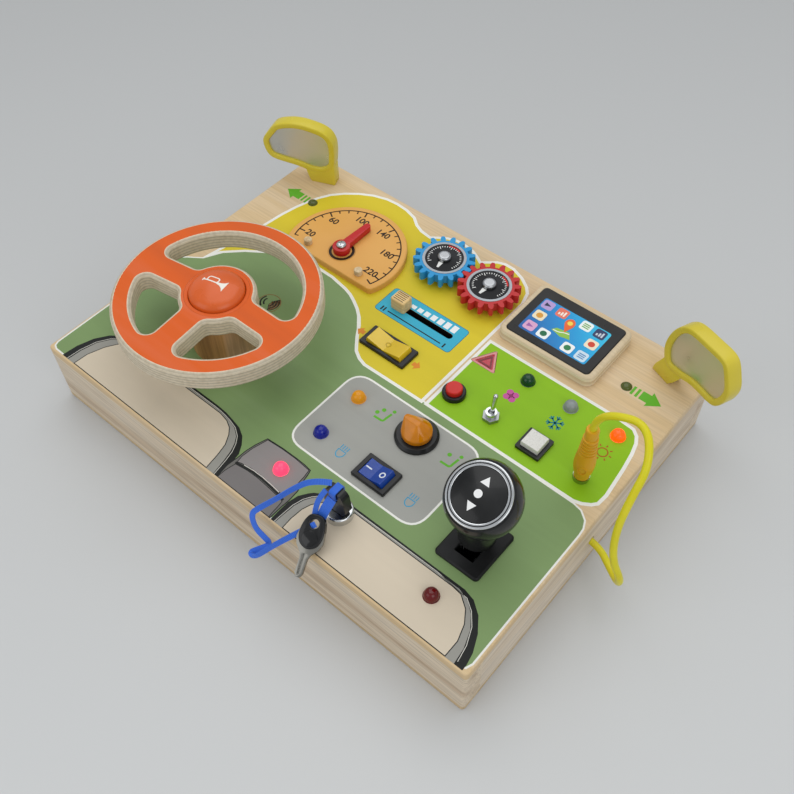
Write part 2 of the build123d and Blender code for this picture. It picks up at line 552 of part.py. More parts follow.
with BuildPart() as batteries:
    first = -(BATTERY_COUNT - 1) / 2
    for index in range(BATTERY_COUNT):
        y = BATTERY_Y + (first + index) * BATTERY_PITCH
        end = 1 if index % 2 else -1
        with BuildSketch(Plane.YZ.offset(BATTERY_X - BATTERY_LENGTH / 2)):
            with Locations((y, battery_z)):
                Circle(BATTERY_RADIUS)
        extrude(amount=BATTERY_LENGTH)
        with BuildSketch(Plane.YZ.offset(BATTERY_X + end * BATTERY_LENGTH / 2)):
            with Locations((y, battery_z)):
                Circle(BATTERY_NUB_RADIUS)
        extrude(amount=end * BATTERY_NUB_LENGTH)
save(batteries, "batteries")

with BuildPart() as battery_door:
    with BuildSketch():
        with Locations(battery_centre):
            Rectangle(door_length - 2 * DOOR_CLEARANCE, door_width - 2 * DOOR_CLEARANCE)
        with Locations((door_screw_place[0] - DOOR_CLEARANCE, BATTERY_Y)):
            Rectangle(DOOR_TAB, DOOR_TAB - 2 * DOOR_CLEARANCE)
    extrude(amount=BOTTOM_THICKNESS)
    with Locations(Location((*door_screw_place, 0), (180, 0, 0))):
        CounterSinkHole(SCREW_SHANK_RADIUS, SCREW_HEAD_RADIUS, depth=BOTTOM_THICKNESS)
save(battery_door, "battery_door")

door_screw_length = BOTTOM_THICKNESS + BATTERY_WALL + DOOR_SCREW_RUN_OUT
with BuildPart() as screws:
    for place, length in [(place, SCREW_LENGTH) for place in bottom_screw_places] + [
        (door_screw_place, door_screw_length)
    ]:
        with BuildSketch():
            with Locations(place):
                Circle(SCREW_SHANK_RADIUS)
        extrude(amount=length)
        with Locations((*place, (SCREW_HEAD_RADIUS - SCREW_SHANK_RADIUS) / 2)):
            Cone(SCREW_HEAD_RADIUS, SCREW_SHANK_RADIUS, SCREW_HEAD_RADIUS - SCREW_SHANK_RADIUS)
save(screws, "screws")

# ---------------------------------------------------------------- circuit board and speaker
board_under = BOTTOM_THICKNESS + STANDOFF_HEIGHT
board_top = board_under + CIRCUIT_THICKNESS
standoff_x = CIRCUIT_LENGTH / 2 - STANDOFF_INSET
standoff_y = CIRCUIT_WIDTH / 2 - STANDOFF_INSET
standoff_places = [
    (CIRCUIT_X + side * standoff_x, CIRCUIT_Y + end * standoff_y)
    for side in (-1, 1)
    for end in (-1, 1)
]
terminal_places = [
    (CIRCUIT_X + side * TERMINAL_OFFSET, CIRCUIT_Y + side * TERMINAL_OFFSET) for side in (1, -1)
]

with BuildPart() as circuit_board:
    with BuildSketch(Plane.XY.offset(board_under)):
        with Locations((CIRCUIT_X, CIRCUIT_Y)):
            RectangleRounded(CIRCUIT_LENGTH, CIRCUIT_WIDTH, CORNER_RADIUS)
    extrude(amount=CIRCUIT_THICKNESS)
    with BuildSketch(Plane.XY.offset(board_top)):
        with Locations((CIRCUIT_X - CHIP_OFFSET, CIRCUIT_Y)):
            Rectangle(CHIP_LENGTH, CHIP_WIDTH)
    extrude(amount=CHIP_HEIGHT)
    with BuildSketch(Plane.XY.offset(board_top)):
        with Locations(*terminal_places):
            Rectangle(TERMINAL_LENGTH, TERMINAL_WIDTH)
    extrude(amount=TERMINAL_HEIGHT)
    with BuildSketch(Plane.XY.offset(BOTTOM_THICKNESS)):
        with Locations(*standoff_places):
            Circle(STANDOFF_RADIUS)
    extrude(amount=STANDOFF_HEIGHT)
save(circuit_board, "circuit_board")

with BuildPart() as speaker:
    with BuildSketch(Plane.XY.offset(PANEL_UNDER - SPEAKER_RIM)):
        with Locations((SPEAKER_X, SPEAKER_Y)):
            Circle(SPEAKER_RADIUS)
    extrude(amount=SPEAKER_RIM)
    with Locations((SPEAKER_X, SPEAKER_Y, PANEL_UNDER)):
        Cone(
            SPEAKER_MAGNET_RADIUS,
            SPEAKER_RADIUS - SPEAKER_RIM,
            SPEAKER_RIM - SPEAKER_CONE_WALL,
            align=(Align.CENTER, Align.CENTER, Align.MAX),
            mode=Mode.SUBTRACT,
        )
    with BuildSketch(Plane.XY.offset(PANEL_UNDER - SPEAKER_DEPTH)):
        with Locations((SPEAKER_X, SPEAKER_Y)):
            Circle(SPEAKER_MAGNET_RADIUS)
    extrude(amount=SPEAKER_DEPTH - SPEAKER_RIM)
save(speaker, "speaker")

# ================================================================ nuts
nuts_under_panel = [
    ((WHEEL_X, WHEEL_Y), SLEEVE_NUT_FLATS, SLEEVE_NUT_HEIGHT, SLEEVE_RADIUS),
    ((GEAR_BLUE_X, GEAR_BLUE_Y), GEAR_NUT_FLATS, GEAR_NUT_HEIGHT, GEAR_BOLT_RADIUS),
    ((GEAR_RED_X, GEAR_RED_Y), GEAR_NUT_FLATS, GEAR_NUT_HEIGHT, GEAR_BOLT_RADIUS),
    ((RED_BUTTON_X, CONTROL_ROW_Y), RED_NUT_FLATS, RED_NUT_HEIGHT, RED_BARREL_RADIUS),
    ((LOCK_X, LOCK_Y), LOCK_NUT_FLATS, LOCK_NUT_HEIGHT, LOCK_BARREL_RADIUS),
]

with BuildPart() as nuts:
    for place, flats, height, bore in nuts_under_panel:
        with BuildSketch(Plane.XY.offset(PANEL_UNDER)):
            with Locations(place):
                RegularPolygon(hex_radius(flats), 6)
                Circle(bore, mode=Mode.SUBTRACT)
        extrude(amount=-height)
    with BuildSketch(Plane.XY.offset(BOARD_HEIGHT)):
        with Locations((TOGGLE_X, CONTROL_ROW_Y)):
            RegularPolygon(hex_radius(TOGGLE_NUT_FLATS), 6)
            Circle(TOGGLE_BUSH_RADIUS, mode=Mode.SUBTRACT)
    extrude(amount=TOGGLE_NUT_HEIGHT)
save(nuts, "nuts")

# ================================================================ steering wheel
sleeve_bottom = PANEL_UNDER - SLEEVE_NUT_HEIGHT - SLEEVE_RUN_OUT
pocket_floor = WHEEL_UNDER + HORN_POCKET_FLOOR
flange_under = pocket_floor + FACE_GAP
flange_top = flange_under + SLEEVE_FLANGE_THICKNESS
spoke_angles = [WHEEL_TURN - SPOKE_DROOP, WHEEL_TURN + 180 + SPOKE_DROOP, WHEEL_TURN + 270]
spoke_places = [polar(OPENING_OUTER_RADIUS / 2, angle) for angle in spoke_angles]
spoke_seats = [
    Location((x, y, 0), (0, 0, angle)) for (x, y), angle in zip(spoke_places, spoke_angles)
]

with BuildPart() as wheel_pedestal:
    with BuildSketch(Plane.XY.offset(BOARD_HEIGHT)):
        with Locations((WHEEL_X, WHEEL_Y)):
            Circle(PEDESTAL_RADIUS)
            Circle(SLEEVE_RADIUS + SEAT_CLEARANCE, mode=Mode.SUBTRACT)
    extrude(amount=WHEEL_UNDER - FACE_GAP - BOARD_HEIGHT)
save(wheel_pedestal, "wheel_pedestal")

with BuildPart() as wheel_sleeve:
    with BuildSketch(Plane.XY.offset(sleeve_bottom)):
        with Locations((WHEEL_X, WHEEL_Y)):
            Circle(SLEEVE_RADIUS)
    extrude(amount=flange_top - sleeve_bottom)
    with BuildSketch(Plane.XY.offset(flange_under)):
        with Locations((WHEEL_X, WHEEL_Y)):
            Circle(SLEEVE_FLANGE_RADIUS)
    extrude(amount=SLEEVE_FLANGE_THICKNESS)
    with Locations((WHEEL_X, WHEEL_Y, flange_top)):
        Hole(SLEEVE_BORE, depth=flange_top)
save(wheel_sleeve, "wheel_sleeve")

with BuildPart() as wheel:
    with BuildSketch():
        Circle(WHEEL_RADIUS)
    extrude(amount=WHEEL_THICKNESS)
    with BuildSketch() as openings:
        Circle(OPENING_OUTER_RADIUS)
        Circle(WHEEL_HUB_RADIUS, mode=Mode.SUBTRACT)
        with Locations(*spoke_seats):
            Rectangle(OPENING_OUTER_RADIUS + SPOKE_WIDTH, SPOKE_WIDTH, mode=Mode.SUBTRACT)
        fillet(openings.vertices(), OPENING_CORNER)
    extrude(amount=WHEEL_THICKNESS, mode=Mode.SUBTRACT)
    fillet(wheel.edges().group_by(Axis.Z)[0] + wheel.edges().group_by(Axis.Z)[-1], WHEEL_ROUND)
    with Locations((0, 0, WHEEL_THICKNESS)):
        CounterBoreHole(
            SLEEVE_RADIUS + TURN_CLEARANCE,
            HORN_RADIUS + SLIDE_CLEARANCE,
            WHEEL_THICKNESS - HORN_POCKET_FLOOR,
        )
save(wheel, "wheel", Location((WHEEL_X, WHEEL_Y, WHEEL_UNDER)))

horn_skirt_bottom = HORN_POCKET_FLOOR + HORN_TRAVEL + SEAT_CLEARANCE
horn_shoulder = WHEEL_THICKNESS + HORN_RIM_HEIGHT
horn_inner_radius = HORN_RADIUS - HORN_SKIRT_WALL
with BuildPart() as horn_button:
    with BuildSketch(Plane.XZ):
        with BuildLine():
            dome = RadiusArc(
                (HORN_RADIUS, horn_shoulder),
                (0, horn_shoulder + HORN_DOME_HEIGHT),
                -dome_radius(HORN_RADIUS, HORN_DOME_HEIGHT),
            )
            Polyline(
                dome @ 1,
                (0, horn_shoulder - HORN_ROOF),
                (horn_inner_radius, horn_shoulder - HORN_ROOF),
                (horn_inner_radius, horn_skirt_bottom),
                (HORN_RADIUS, horn_skirt_bottom),
                dome @ 0,
            )
        make_face()
    revolve(axis=Axis.Z)
save(horn_button, "horn_button", Location((WHEEL_X, WHEEL_Y, WHEEL_UNDER)))
horn_roof_z = WHEEL_UNDER + horn_shoulder - HORN_ROOF

spring_length = horn_roof_z - flange_top - 2 * SPRING_WIRE_RADIUS
with BuildPart() as horn_spring:
    with BuildLine(Plane((WHEEL_X, WHEEL_Y, flange_top + SPRING_WIRE_RADIUS))) as coil:
        Helix(spring_length / SPRING_TURNS, spring_length, SPRING_RADIUS)
    with BuildSketch(Plane(origin=coil.line @ 0, z_dir=coil.line % 0)):
        Circle(SPRING_WIRE_RADIUS)
    sweep(path=coil.line, is_frenet=True)
save(horn_spring, "horn_spring")

# ================================================================ speed dial
dial_top = BOARD_HEIGHT + DIAL_THICKNESS
with BuildPart() as dial_plate:
    with BuildSketch() as dial_face:
        Circle(DIAL_RADIUS)
        with Locations((0, -DIAL_FLAT)):
            Rectangle(
                2 * DIAL_RADIUS, DIAL_RADIUS, align=(Align.CENTER, Align.MAX), mode=Mode.SUBTRACT
            )
        fillet(dial_face.vertices(), DIAL_CORNER)
    extrude(amount=DIAL_THICKNESS)
    fillet(dial_plate.faces().sort_by(Axis.Z)[-1].edges(), DIAL_ROUND)
    with Locations((0, -PIVOT_DROP, DIAL_THICKNESS)):
        Hole(POINTER_SCREW_RADIUS)
    with Locations(
        (-PEG_SPREAD, -PIVOT_DROP - PEG_DROP, DIAL_THICKNESS),
        (PEG_SPREAD, -PIVOT_DROP - PEG_DROP, DIAL_THICKNESS),
    ):
        Hole(PEG_RADIUS, depth=PEG_DEPTH)
save(dial_plate, "dial_plate", Location((DIAL_X, DIAL_Y, BOARD_HEIGHT)))

with BuildPart() as dial_pegs:
    with BuildSketch():
        with Locations((-PEG_SPREAD, 0), (PEG_SPREAD, 0)):
            Circle(PEG_RADIUS)
    extrude(amount=PEG_DEPTH + PEG_HEIGHT)
    fillet(dial_pegs.edges().group_by(Axis.Z)[-1], PEG_ROUND)
save(dial_pegs, "dial_pegs", Location((POINTER_X, POINTER_Y - PEG_DROP, dial_top - PEG_DEPTH)))

pointer_under = dial_top + FACE_GAP
pointer_top = pointer_under + POINTER_THICKNESS
with BuildPart() as pointer:
    with BuildSketch():
        Circle(POINTER_HUB_RADIUS)
        with Locations(polar(POINTER_LENGTH - POINTER_TIP_RADIUS, POINTER_ANGLE)):
            Circle(POINTER_TIP_RADIUS)
        make_hull()
    extrude(amount=POINTER_THICKNESS)
    fillet(pointer.faces().sort_by(Axis.Z)[-1].edges(), POINTER_ROUND)
    with Locations((0, 0, POINTER_THICKNESS)):
        Hole(POINTER_SCREW_RADIUS + TURN_CLEARANCE)
save(pointer, "pointer", Location((POINTER_X, POINTER_Y, pointer_under)))

screw_head_under = pointer_top + FACE_GAP
with BuildPart() as pointer_screw:
    with BuildSketch(Plane.XY.offset(screw_head_under)):
        with Locations((POINTER_X, POINTER_Y)):
            Circle(POINTER_SCREW_RADIUS)
    extrude(amount=-POINTER_SCREW_LENGTH)
    with BuildSketch(Plane.XY.offset(screw_head_under)):
        with Locations((POINTER_X, POINTER_Y)):
            Circle(POINTER_SCREW_HEAD_RADIUS)
    extrude(amount=POINTER_SCREW_HEAD_HEIGHT)
    fillet(pointer_screw.edges().group_by(Axis.Z)[-1], POINTER_SCREW_ROUND)
save(pointer_screw, "pointer_screw")

# ================================================================ gears
gear_spacing = sqrt((GEAR_RED_X - GEAR_BLUE_X) ** 2 + (GEAR_RED_Y - GEAR_BLUE_Y) ** 2)
gear_line = degrees(atan2(GEAR_RED_Y - GEAR_BLUE_Y, GEAR_RED_X - GEAR_BLUE_X))
GEAR_RED_PHASE = 2 * gear_line + 180 + 180 / GEAR_TEETH - GEAR_BLUE_PHASE
pitch_radius = gear_spacing / 2
base_radius = pitch_radius * cos(radians(GEAR_PRESSURE_ANGLE))


def tooth_half_angle(radius):
    """Half the angle one involute tooth covers at this radius, in degrees."""
    pressure = radians(GEAR_PRESSURE_ANGLE)
    here = acos(min(1.0, base_radius / radius))
    thickness = pi / (2 * GEAR_TEETH) - GEAR_BACKLASH / 4 / pitch_radius
    return degrees(thickness + tan(pressure) - pressure - tan(here) + here)


flank_radii = [base_radius + share * (GEAR_TIP_RADIUS - base_radius) for share in (0, 0.35, 0.7, 1)]
gear_under = BOARD_HEIGHT + GEAR_LIFT
gear_top = gear_under + GEAR_THICKNESS

for name, gear_x, gear_y, phase in (
    ("gear_blue", GEAR_BLUE_X, GEAR_BLUE_Y, GEAR_BLUE_PHASE),
    ("gear_red", GEAR_RED_X, GEAR_RED_Y, GEAR_RED_PHASE),
):
    outline = []
    for tooth in range(GEAR_TEETH):
        middle = phase + tooth * 360 / GEAR_TEETH
        rise = [polar(GEAR_ROOT_RADIUS, middle - tooth_half_angle(base_radius))]
        rise += [polar(radius, middle - tooth_half_angle(radius)) for radius in flank_radii]
        fall = [polar(radius, middle + tooth_half_angle(radius)) for radius in reversed(flank_radii)]
        fall += [polar(GEAR_ROOT_RADIUS, middle + tooth_half_angle(base_radius))]
        outline += rise + fall
    with BuildPart() as gear:
        with BuildSketch() as teeth:
            Polygon(*outline, align=None)
            tips = [
                vertex
                for vertex in teeth.vertices()
                if hypot(vertex.X, vertex.Y) > flank_radii[-2]
            ]
            fillet(tips, GEAR_TOOTH_ROUND)
        extrude(amount=GEAR_THICKNESS)
        with BuildSketch():
            Circle(GEAR_BOSS_RADIUS)
        extrude(amount=FACE_GAP - GEAR_LIFT)
        with Locations((0, 0, GEAR_THICKNESS)):
            Hole(GEAR_BOLT_RADIUS + TURN_CLEARANCE)
    save(gear, name, Location((gear_x, gear_y, gear_under)))

bolt_head_under = gear_top + FACE_GAP
with BuildPart() as gear_bolts:
    for place in ((GEAR_BLUE_X, GEAR_BLUE_Y), (GEAR_RED_X, GEAR_RED_Y)):
        with BuildSketch(Plane.XY.offset(bolt_head_under)):
            with Locations(place):
                Circle(GEAR_BOLT_RADIUS)
        extrude(amount=-GEAR_BOLT_LENGTH)
        with BuildSketch(Plane.XY.offset(bolt_head_under)):
            with Locations(place):
                Circle(GEAR_BOLT_HEAD_RADIUS)
        extrude(amount=GEAR_BOLT_HEAD_HEIGHT)
    fillet(gear_bolts.edges().group_by(Axis.Z)[-1], GEAR_BOLT_ROUND)
save(gear_bolts, "gear_bolts")

# ================================================================ slider
knob_under = BOARD_HEIGHT + FACE_GAP
stem_width = SLOT_WIDTH - 2 * SLIDE_CLEARANCE
retainer_top = PANEL_UNDER - FACE_GAP
with BuildPart() as slider_knob:
    with BuildSketch(Plane.XY.offset(knob_under)):
        with Locations((SLIDER_KNOB_X, SLIDER_Y)):
            RectangleRounded(SLIDER_KNOB_LENGTH, SLIDER_KNOB_WIDTH, SLIDER_KNOB_CORNER)
    extrude(amount=SLIDER_KNOB_HEIGHT)
    fillet(slider_knob.faces().sort_by(Axis.Z)[-1].edges(), SLIDER_KNOB_ROUND)
    with BuildSketch(Plane.XY.offset(knob_under)):
        with Locations((SLIDER_KNOB_X, SLIDER_Y)):
            SlotOverall(SLIDER_STEM_LENGTH, stem_width)
    extrude(amount=retainer_top - knob_under)
save(slider_knob, "slider_knob")

with BuildPart() as slider_retainer:
    with BuildSketch(Plane.XY.offset(retainer_top)):
        with Locations((SLIDER_KNOB_X, SLIDER_Y)):
            Rectangle(SLIDER_RETAINER_LENGTH, SLIDER_RETAINER_WIDTH)
    extrude(amount=-SLIDER_RETAINER_HEIGHT)
save(slider_retainer, "slider_retainer")

# ================================================================ rocker switches
bezel_top = BOARD_HEIGHT + BEZEL_HEIGHT
for name, x, y, length, width, radius, rocker_width, end_rise, tilt in (
    ("yellow", YELLOW_X, YELLOW_Y, YELLOW_BEZEL_LENGTH, YELLOW_BEZEL_WIDTH,
     YELLOW_ROCKER_RADIUS, YELLOW_ROCKER_WIDTH, YELLOW_END_RISE, YELLOW_TILT),
    ("blue", BLUE_X, BLUE_Y, BLUE_BEZEL_LENGTH, BLUE_BEZEL_WIDTH,
     BLUE_ROCKER_RADIUS, BLUE_ROCKER_WIDTH, BLUE_END_RISE, BLUE_TILT),
):
    well_half = radius + ROCKER_CLEARANCE
    pin_reach = rocker_width / 2 + ROCKER_PIN_LENGTH + ROCKER_PIN_CLEARANCE
    with BuildPart() as housing:
        with BuildSketch(Plane.XY.offset(-BEZEL_HEIGHT)):
            RectangleRounded(length, width, BEZEL_CORNER)
        extrude(amount=BEZEL_HEIGHT)
        fillet(housing.faces().sort_by(Axis.Z)[-1].edges(), BEZEL_ROUND)
        with BuildSketch(Plane.XY.offset(-BEZEL_HEIGHT)):
            Rectangle(length - 2 * BEZEL_LAP, width - 2 * BEZEL_LAP)
        extrude(amount=-ROCKER_BODY_DEPTH)
        with BuildSketch():
            Rectangle(2 * well_half, rocker_width + 2 * ROCKER_CLEARANCE)
        extrude(amount=-ROCKER_WELL_DEPTH, mode=Mode.SUBTRACT)
        with BuildSketch(Plane.XZ.offset(-pin_reach)):
            with Locations((0, -ROCKER_PIVOT_DROP)):
                Circle(ROCKER_PIN_RADIUS + TURN_CLEARANCE)
        extrude(amount=2 * pin_reach, mode=Mode.SUBTRACT)
        with BuildSketch(Plane.XY.offset(-BEZEL_HEIGHT - ROCKER_BODY_DEPTH)):
            with Locations((-length / 4, 0), (0, 0), (length / 4, 0)):
                Rectangle(TERMINAL_BLADE[0], TERMINAL_BLADE[1])
        extrude(amount=-TERMINAL_BLADE[2])
    save(housing, f"{name}_rocker_housing", Location((x, y, bezel_top)))

    end_x = sqrt(radius**2 - end_rise**2)
    belly_x = sqrt(radius**2 - ROCKER_BELLY_DROP**2)
    with BuildPart() as rocker:
        with BuildSketch(Plane.XZ.offset(-rocker_width / 2)):
            with BuildLine():
                Polyline((-end_x, end_rise), (0, ROCKER_WAIST_RISE), (end_x, end_rise))
                ThreePointArc((end_x, end_rise), (radius, 0), (belly_x, -ROCKER_BELLY_DROP))
                Line((belly_x, -ROCKER_BELLY_DROP), (-belly_x, -ROCKER_BELLY_DROP))
                ThreePointArc((-belly_x, -ROCKER_BELLY_DROP), (-radius, 0), (-end_x, end_rise))
            make_face()
        extrude(amount=rocker_width)
        fillet(rocker.edges().filter_by(Axis.Y).group_by(Axis.Z)[-1], ROCKER_ROUND)
        with BuildSketch(Plane.XZ.offset(-rocker_width / 2 - ROCKER_PIN_LENGTH)):
            Circle(ROCKER_PIN_RADIUS)
        extrude(amount=rocker_width + 2 * ROCKER_PIN_LENGTH)
    pivot_place = Location((x, y, bezel_top - ROCKER_PIVOT_DROP))
    save(rocker, f"{name}_rocker", pivot_place * Rotation(0, tilt, 0))

# ================================================================ rotary knob
rotary_top = BOARD_HEIGHT + ROTARY_BEZEL_HEIGHT
with BuildPart() as rotary_housing:
    with BuildSketch(Plane.XY.offset(-ROTARY_BEZEL_HEIGHT)):
        Circle(ROTARY_BEZEL_RADIUS)
    extrude(amount=ROTARY_BEZEL_HEIGHT)
    chamfer(rotary_housing.edges().group_by(Axis.Z)[-1], ROTARY_BEZEL_CHAMFER)
    with BuildSketch(Plane.XY.offset(-ROTARY_BEZEL_HEIGHT)):
        Circle(ROTARY_BARREL_RADIUS)
    extrude(amount=-ROTARY_BARREL_DEPTH)
    with BuildSketch():
        Circle(ROTARY_SHAFT_RADIUS + TURN_CLEARANCE)
    extrude(amount=-ROTARY_SHAFT_DEPTH - ROTARY_SHAFT_ROOM, mode=Mode.SUBTRACT)
save(rotary_housing, "rotary_housing", Location((ROTARY_X, ROTARY_Y, rotary_top)))

grip_axis = Rotation(0, 0, ROTARY_GRIP_ANGLE)
grip_tip = ROTARY_GRIP_REACH - ROTARY_GRIP_WIDTH / 2
with BuildPart() as rotary_knob:
    with BuildSketch():
        Circle(ROTARY_KNOB_RADIUS)
        with Locations((grip_tip, 0)):
            Circle(ROTARY_GRIP_WIDTH / 2)
        make_hull()
    extrude(amount=ROTARY_SKIRT_HEIGHT)
    with BuildSketch(Plane.XY.offset(ROTARY_SKIRT_HEIGHT)):
        Circle(ROTARY_KNOB_RADIUS)
        with Locations((grip_tip, 0)):
            Circle(ROTARY_GRIP_WIDTH / 2)
        make_hull()
    with BuildSketch(Plane.XY.offset(ROTARY_GRIP_HEIGHT)):
        with Locations((-ROTARY_RIDGE_HEEL, 0)):
            Circle(ROTARY_RIDGE_HEEL_RADIUS)
        with Locations((grip_tip - ROTARY_RIDGE_SET_BACK, 0)):
            Circle(ROTARY_GRIP_WIDTH / 2 - ROTARY_RIDGE_TAPER)
        make_hull()
    loft()
    with BuildSketch():
        Circle(ROTARY_SHAFT_RADIUS)
    extrude(amount=-ROTARY_SHAFT_DEPTH)
save(rotary_knob, "rotary_knob", Location((ROTARY_X, ROTARY_Y, rotary_top + FACE_GAP)) * grip_axis)

# ================================================================ push buttons
with BuildPart() as red_button_base:
    with BuildSketch():
        Circle(RED_BASE_RADIUS)
    extrude(amount=RED_BASE_HEIGHT)
    fillet(red_button_base.edges().group_by(Axis.Z)[-1], RED_BASE_ROUND)
    with BuildSketch():
        Circle(RED_BARREL_RADIUS)
    extrude(amount=-RED_BARREL_DEPTH)
    with BuildSketch(Plane.XY.offset(RED_BASE_HEIGHT)):
        Circle(RED_CAP_RADIUS + SLIDE_CLEARANCE)
    extrude(amount=-BUTTON_STEM_DEPTH - BUTTON_TRAVEL - FACE_GAP, mode=Mode.SUBTRACT)
save(red_button_base, "red_button_base", Location((RED_BUTTON_X, CONTROL_ROW_Y, BOARD_HEIGHT)))

with BuildPart() as red_button_cap:
    with BuildSketch(Plane.XY.offset(RED_BASE_HEIGHT - BUTTON_STEM_DEPTH)):
        Circle(RED_CAP_RADIUS)
    extrude(amount=RED_CAP_HEIGHT - RED_BASE_HEIGHT + BUTTON_STEM_DEPTH)
    fillet(red_button_cap.edges().group_by(Axis.Z)[-1], RED_CAP_ROUND)
save(red_button_cap, "red_button_cap", Location((RED_BUTTON_X, CONTROL_ROW_Y, BOARD_HEIGHT)))

with BuildPart() as white_button_base:
    with BuildSketch():
        RectangleRounded(WHITE_BASE_SIZE, WHITE_BASE_SIZE, WHITE_BASE_CORNER)
    extrude(amount=WHITE_BASE_HEIGHT)
    with BuildSketch():
        Rectangle(WHITE_BODY_SIZE, WHITE_BODY_SIZE)
    extrude(amount=-WHITE_BODY_DEPTH)
    with BuildSketch(Plane.XY.offset(WHITE_BASE_HEIGHT)):
        Rectangle(WHITE_CAP_SIZE + 2 * SLIDE_CLEARANCE, WHITE_CAP_SIZE + 2 * SLIDE_CLEARANCE)
    extrude(amount=-BUTTON_STEM_DEPTH - BUTTON_TRAVEL - FACE_GAP, mode=Mode.SUBTRACT)
save(white_button_base, "white_button_base", Location((WHITE_BUTTON_X, CONTROL_ROW_Y, BOARD_HEIGHT)))

with BuildPart() as white_button_cap:
    with BuildSketch(Plane.XY.offset(WHITE_BASE_HEIGHT - BUTTON_STEM_DEPTH)):
        Rectangle(WHITE_CAP_SIZE, WHITE_CAP_SIZE)
    extrude(amount=WHITE_CAP_HEIGHT - WHITE_BASE_HEIGHT + BUTTON_STEM_DEPTH)
    fillet(white_button_cap.edges().group_by(Axis.Z)[-1], WHITE_CAP_ROUND)
save(white_button_cap, "white_button_cap", Location((WHITE_BUTTON_X, CONTROL_ROW_Y, BOARD_HEIGHT)))

# ================================================================ toggle switch
toggle_pivot_z = BOARD_HEIGHT + TOGGLE_BUSH_HEIGHT - TOGGLE_PIVOT_DROP
with BuildPart() as toggle_body:
    with BuildSketch(Plane.XY.offset(TOGGLE_PIVOT_DROP)):
        Circle(TOGGLE_BUSH_RADIUS)
    extrude(amount=PANEL_UNDER - toggle_pivot_z - TOGGLE_PIVOT_DROP)
    with BuildSketch(Plane.XY.offset(PANEL_UNDER - toggle_pivot_z)):
        Rectangle(TOGGLE_BODY_LENGTH, TOGGLE_BODY_WIDTH)
    extrude(amount=-TOGGLE_BODY_DEPTH)
    Sphere(TOGGLE_BALL_RADIUS + TURN_CLEARANCE, mode=Mode.SUBTRACT)
    with Locations((0, 0, TOGGLE_MOUTH_RISE)):
        Cone(
            TOGGLE_MOUTH_RADIUS,
            TOGGLE_MOUTH_TOP_RADIUS,
            TOGGLE_PIVOT_DROP,
            align=(Align.CENTER, Align.CENTER, Align.MIN),
            mode=Mode.SUBTRACT,
        )
save(toggle_body, "toggle_body", Location((TOGGLE_X, CONTROL_ROW_Y, toggle_pivot_z)))

lean = Rotation(-TOGGLE_LEAN, 0, 0)
with BuildPart() as toggle_lever:
    Sphere(TOGGLE_BALL_RADIUS)
    with BuildSketch():
        Circle(TOGGLE_LEVER_RADIUS)
    with BuildSketch(Plane.XY.offset(TOGGLE_LEVER_LENGTH)):
        Circle(TOGGLE_TIP_RADIUS)
    loft()
    with Locations((0, 0, TOGGLE_LEVER_LENGTH)):
        Sphere(TOGGLE_TIP_RADIUS)
save(toggle_lever, "toggle_lever", Location((TOGGLE_X, CONTROL_ROW_Y, toggle_pivot_z)) * lean)

# ================================================================ shifter
shifter_pivot_z = BOARD_HEIGHT - SHIFTER_PIVOT_DEPTH
ball_centre = (SHIFTER_X, SHIFTER_Y + SHIFTER_BALL_SET_BACK, BOARD_HEIGHT + SHIFTER_BALL_RISE)
stem_length = sqrt(SHIFTER_BALL_SET_BACK**2 + (ball_centre[2] - shifter_pivot_z) ** 2)
stem_lean = degrees(atan2(SHIFTER_BALL_SET_BACK, ball_centre[2] - shifter_pivot_z))
far_lean = radians(SHIFTER_SWING + stem_lean)
slot_reach = (BOARD_HEIGHT + SHIFTER_BASE_HEIGHT - shifter_pivot_z) * tan(far_lean)
slot_half = slot_reach + SHIFTER_STEM_RADIUS / cos(far_lean) + SHIFTER_SLOT_END_ROOM
box_inner_width = SHIFTER_BOX_WIDTH - 2 * SHIFTER_WALL
with BuildPart() as shifter_base:
    with BuildSketch():
        RectangleRounded(SHIFTER_BASE_WIDTH, SHIFTER_BASE_LENGTH, SHIFTER_BASE_CORNER)
    extrude(amount=SHIFTER_BASE_HEIGHT)
    chamfer(shifter_base.faces().sort_by(Axis.Z)[-1].edges(), SHIFTER_BASE_CHAMFER)
    with BuildSketch():
        Rectangle(SHIFTER_BOX_WIDTH, SHIFTER_BOX_LENGTH)
    extrude(amount=-SHIFTER_BOX_DEPTH)
    with BuildSketch(Plane.XY.offset(-SHIFTER_BOX_DEPTH + SHIFTER_WALL)):
        Rectangle(box_inner_width, SHIFTER_BOX_LENGTH - 2 * SHIFTER_WALL)
    extrude(amount=SHIFTER_BOX_DEPTH - SHIFTER_WALL, mode=Mode.SUBTRACT)
    with BuildSketch():
        Rectangle(2 * (SHIFTER_STEM_RADIUS + SHIFTER_SLOT_CLEARANCE), 2 * slot_half)
    extrude(amount=SHIFTER_BASE_HEIGHT, mode=Mode.SUBTRACT)
    with BuildSketch(Plane.YZ.offset(-SHIFTER_PIN_LENGTH / 2 - SHIFTER_PIN_CLEARANCE)):
        with Locations((0, -SHIFTER_PIVOT_DEPTH)):
            Circle(SHIFTER_PIN_RADIUS + TURN_CLEARANCE)
    extrude(amount=SHIFTER_PIN_LENGTH + 2 * SHIFTER_PIN_CLEARANCE, mode=Mode.SUBTRACT)
save(shifter_base, "shifter_base", Location((SHIFTER_X, SHIFTER_Y, BOARD_HEIGHT)))

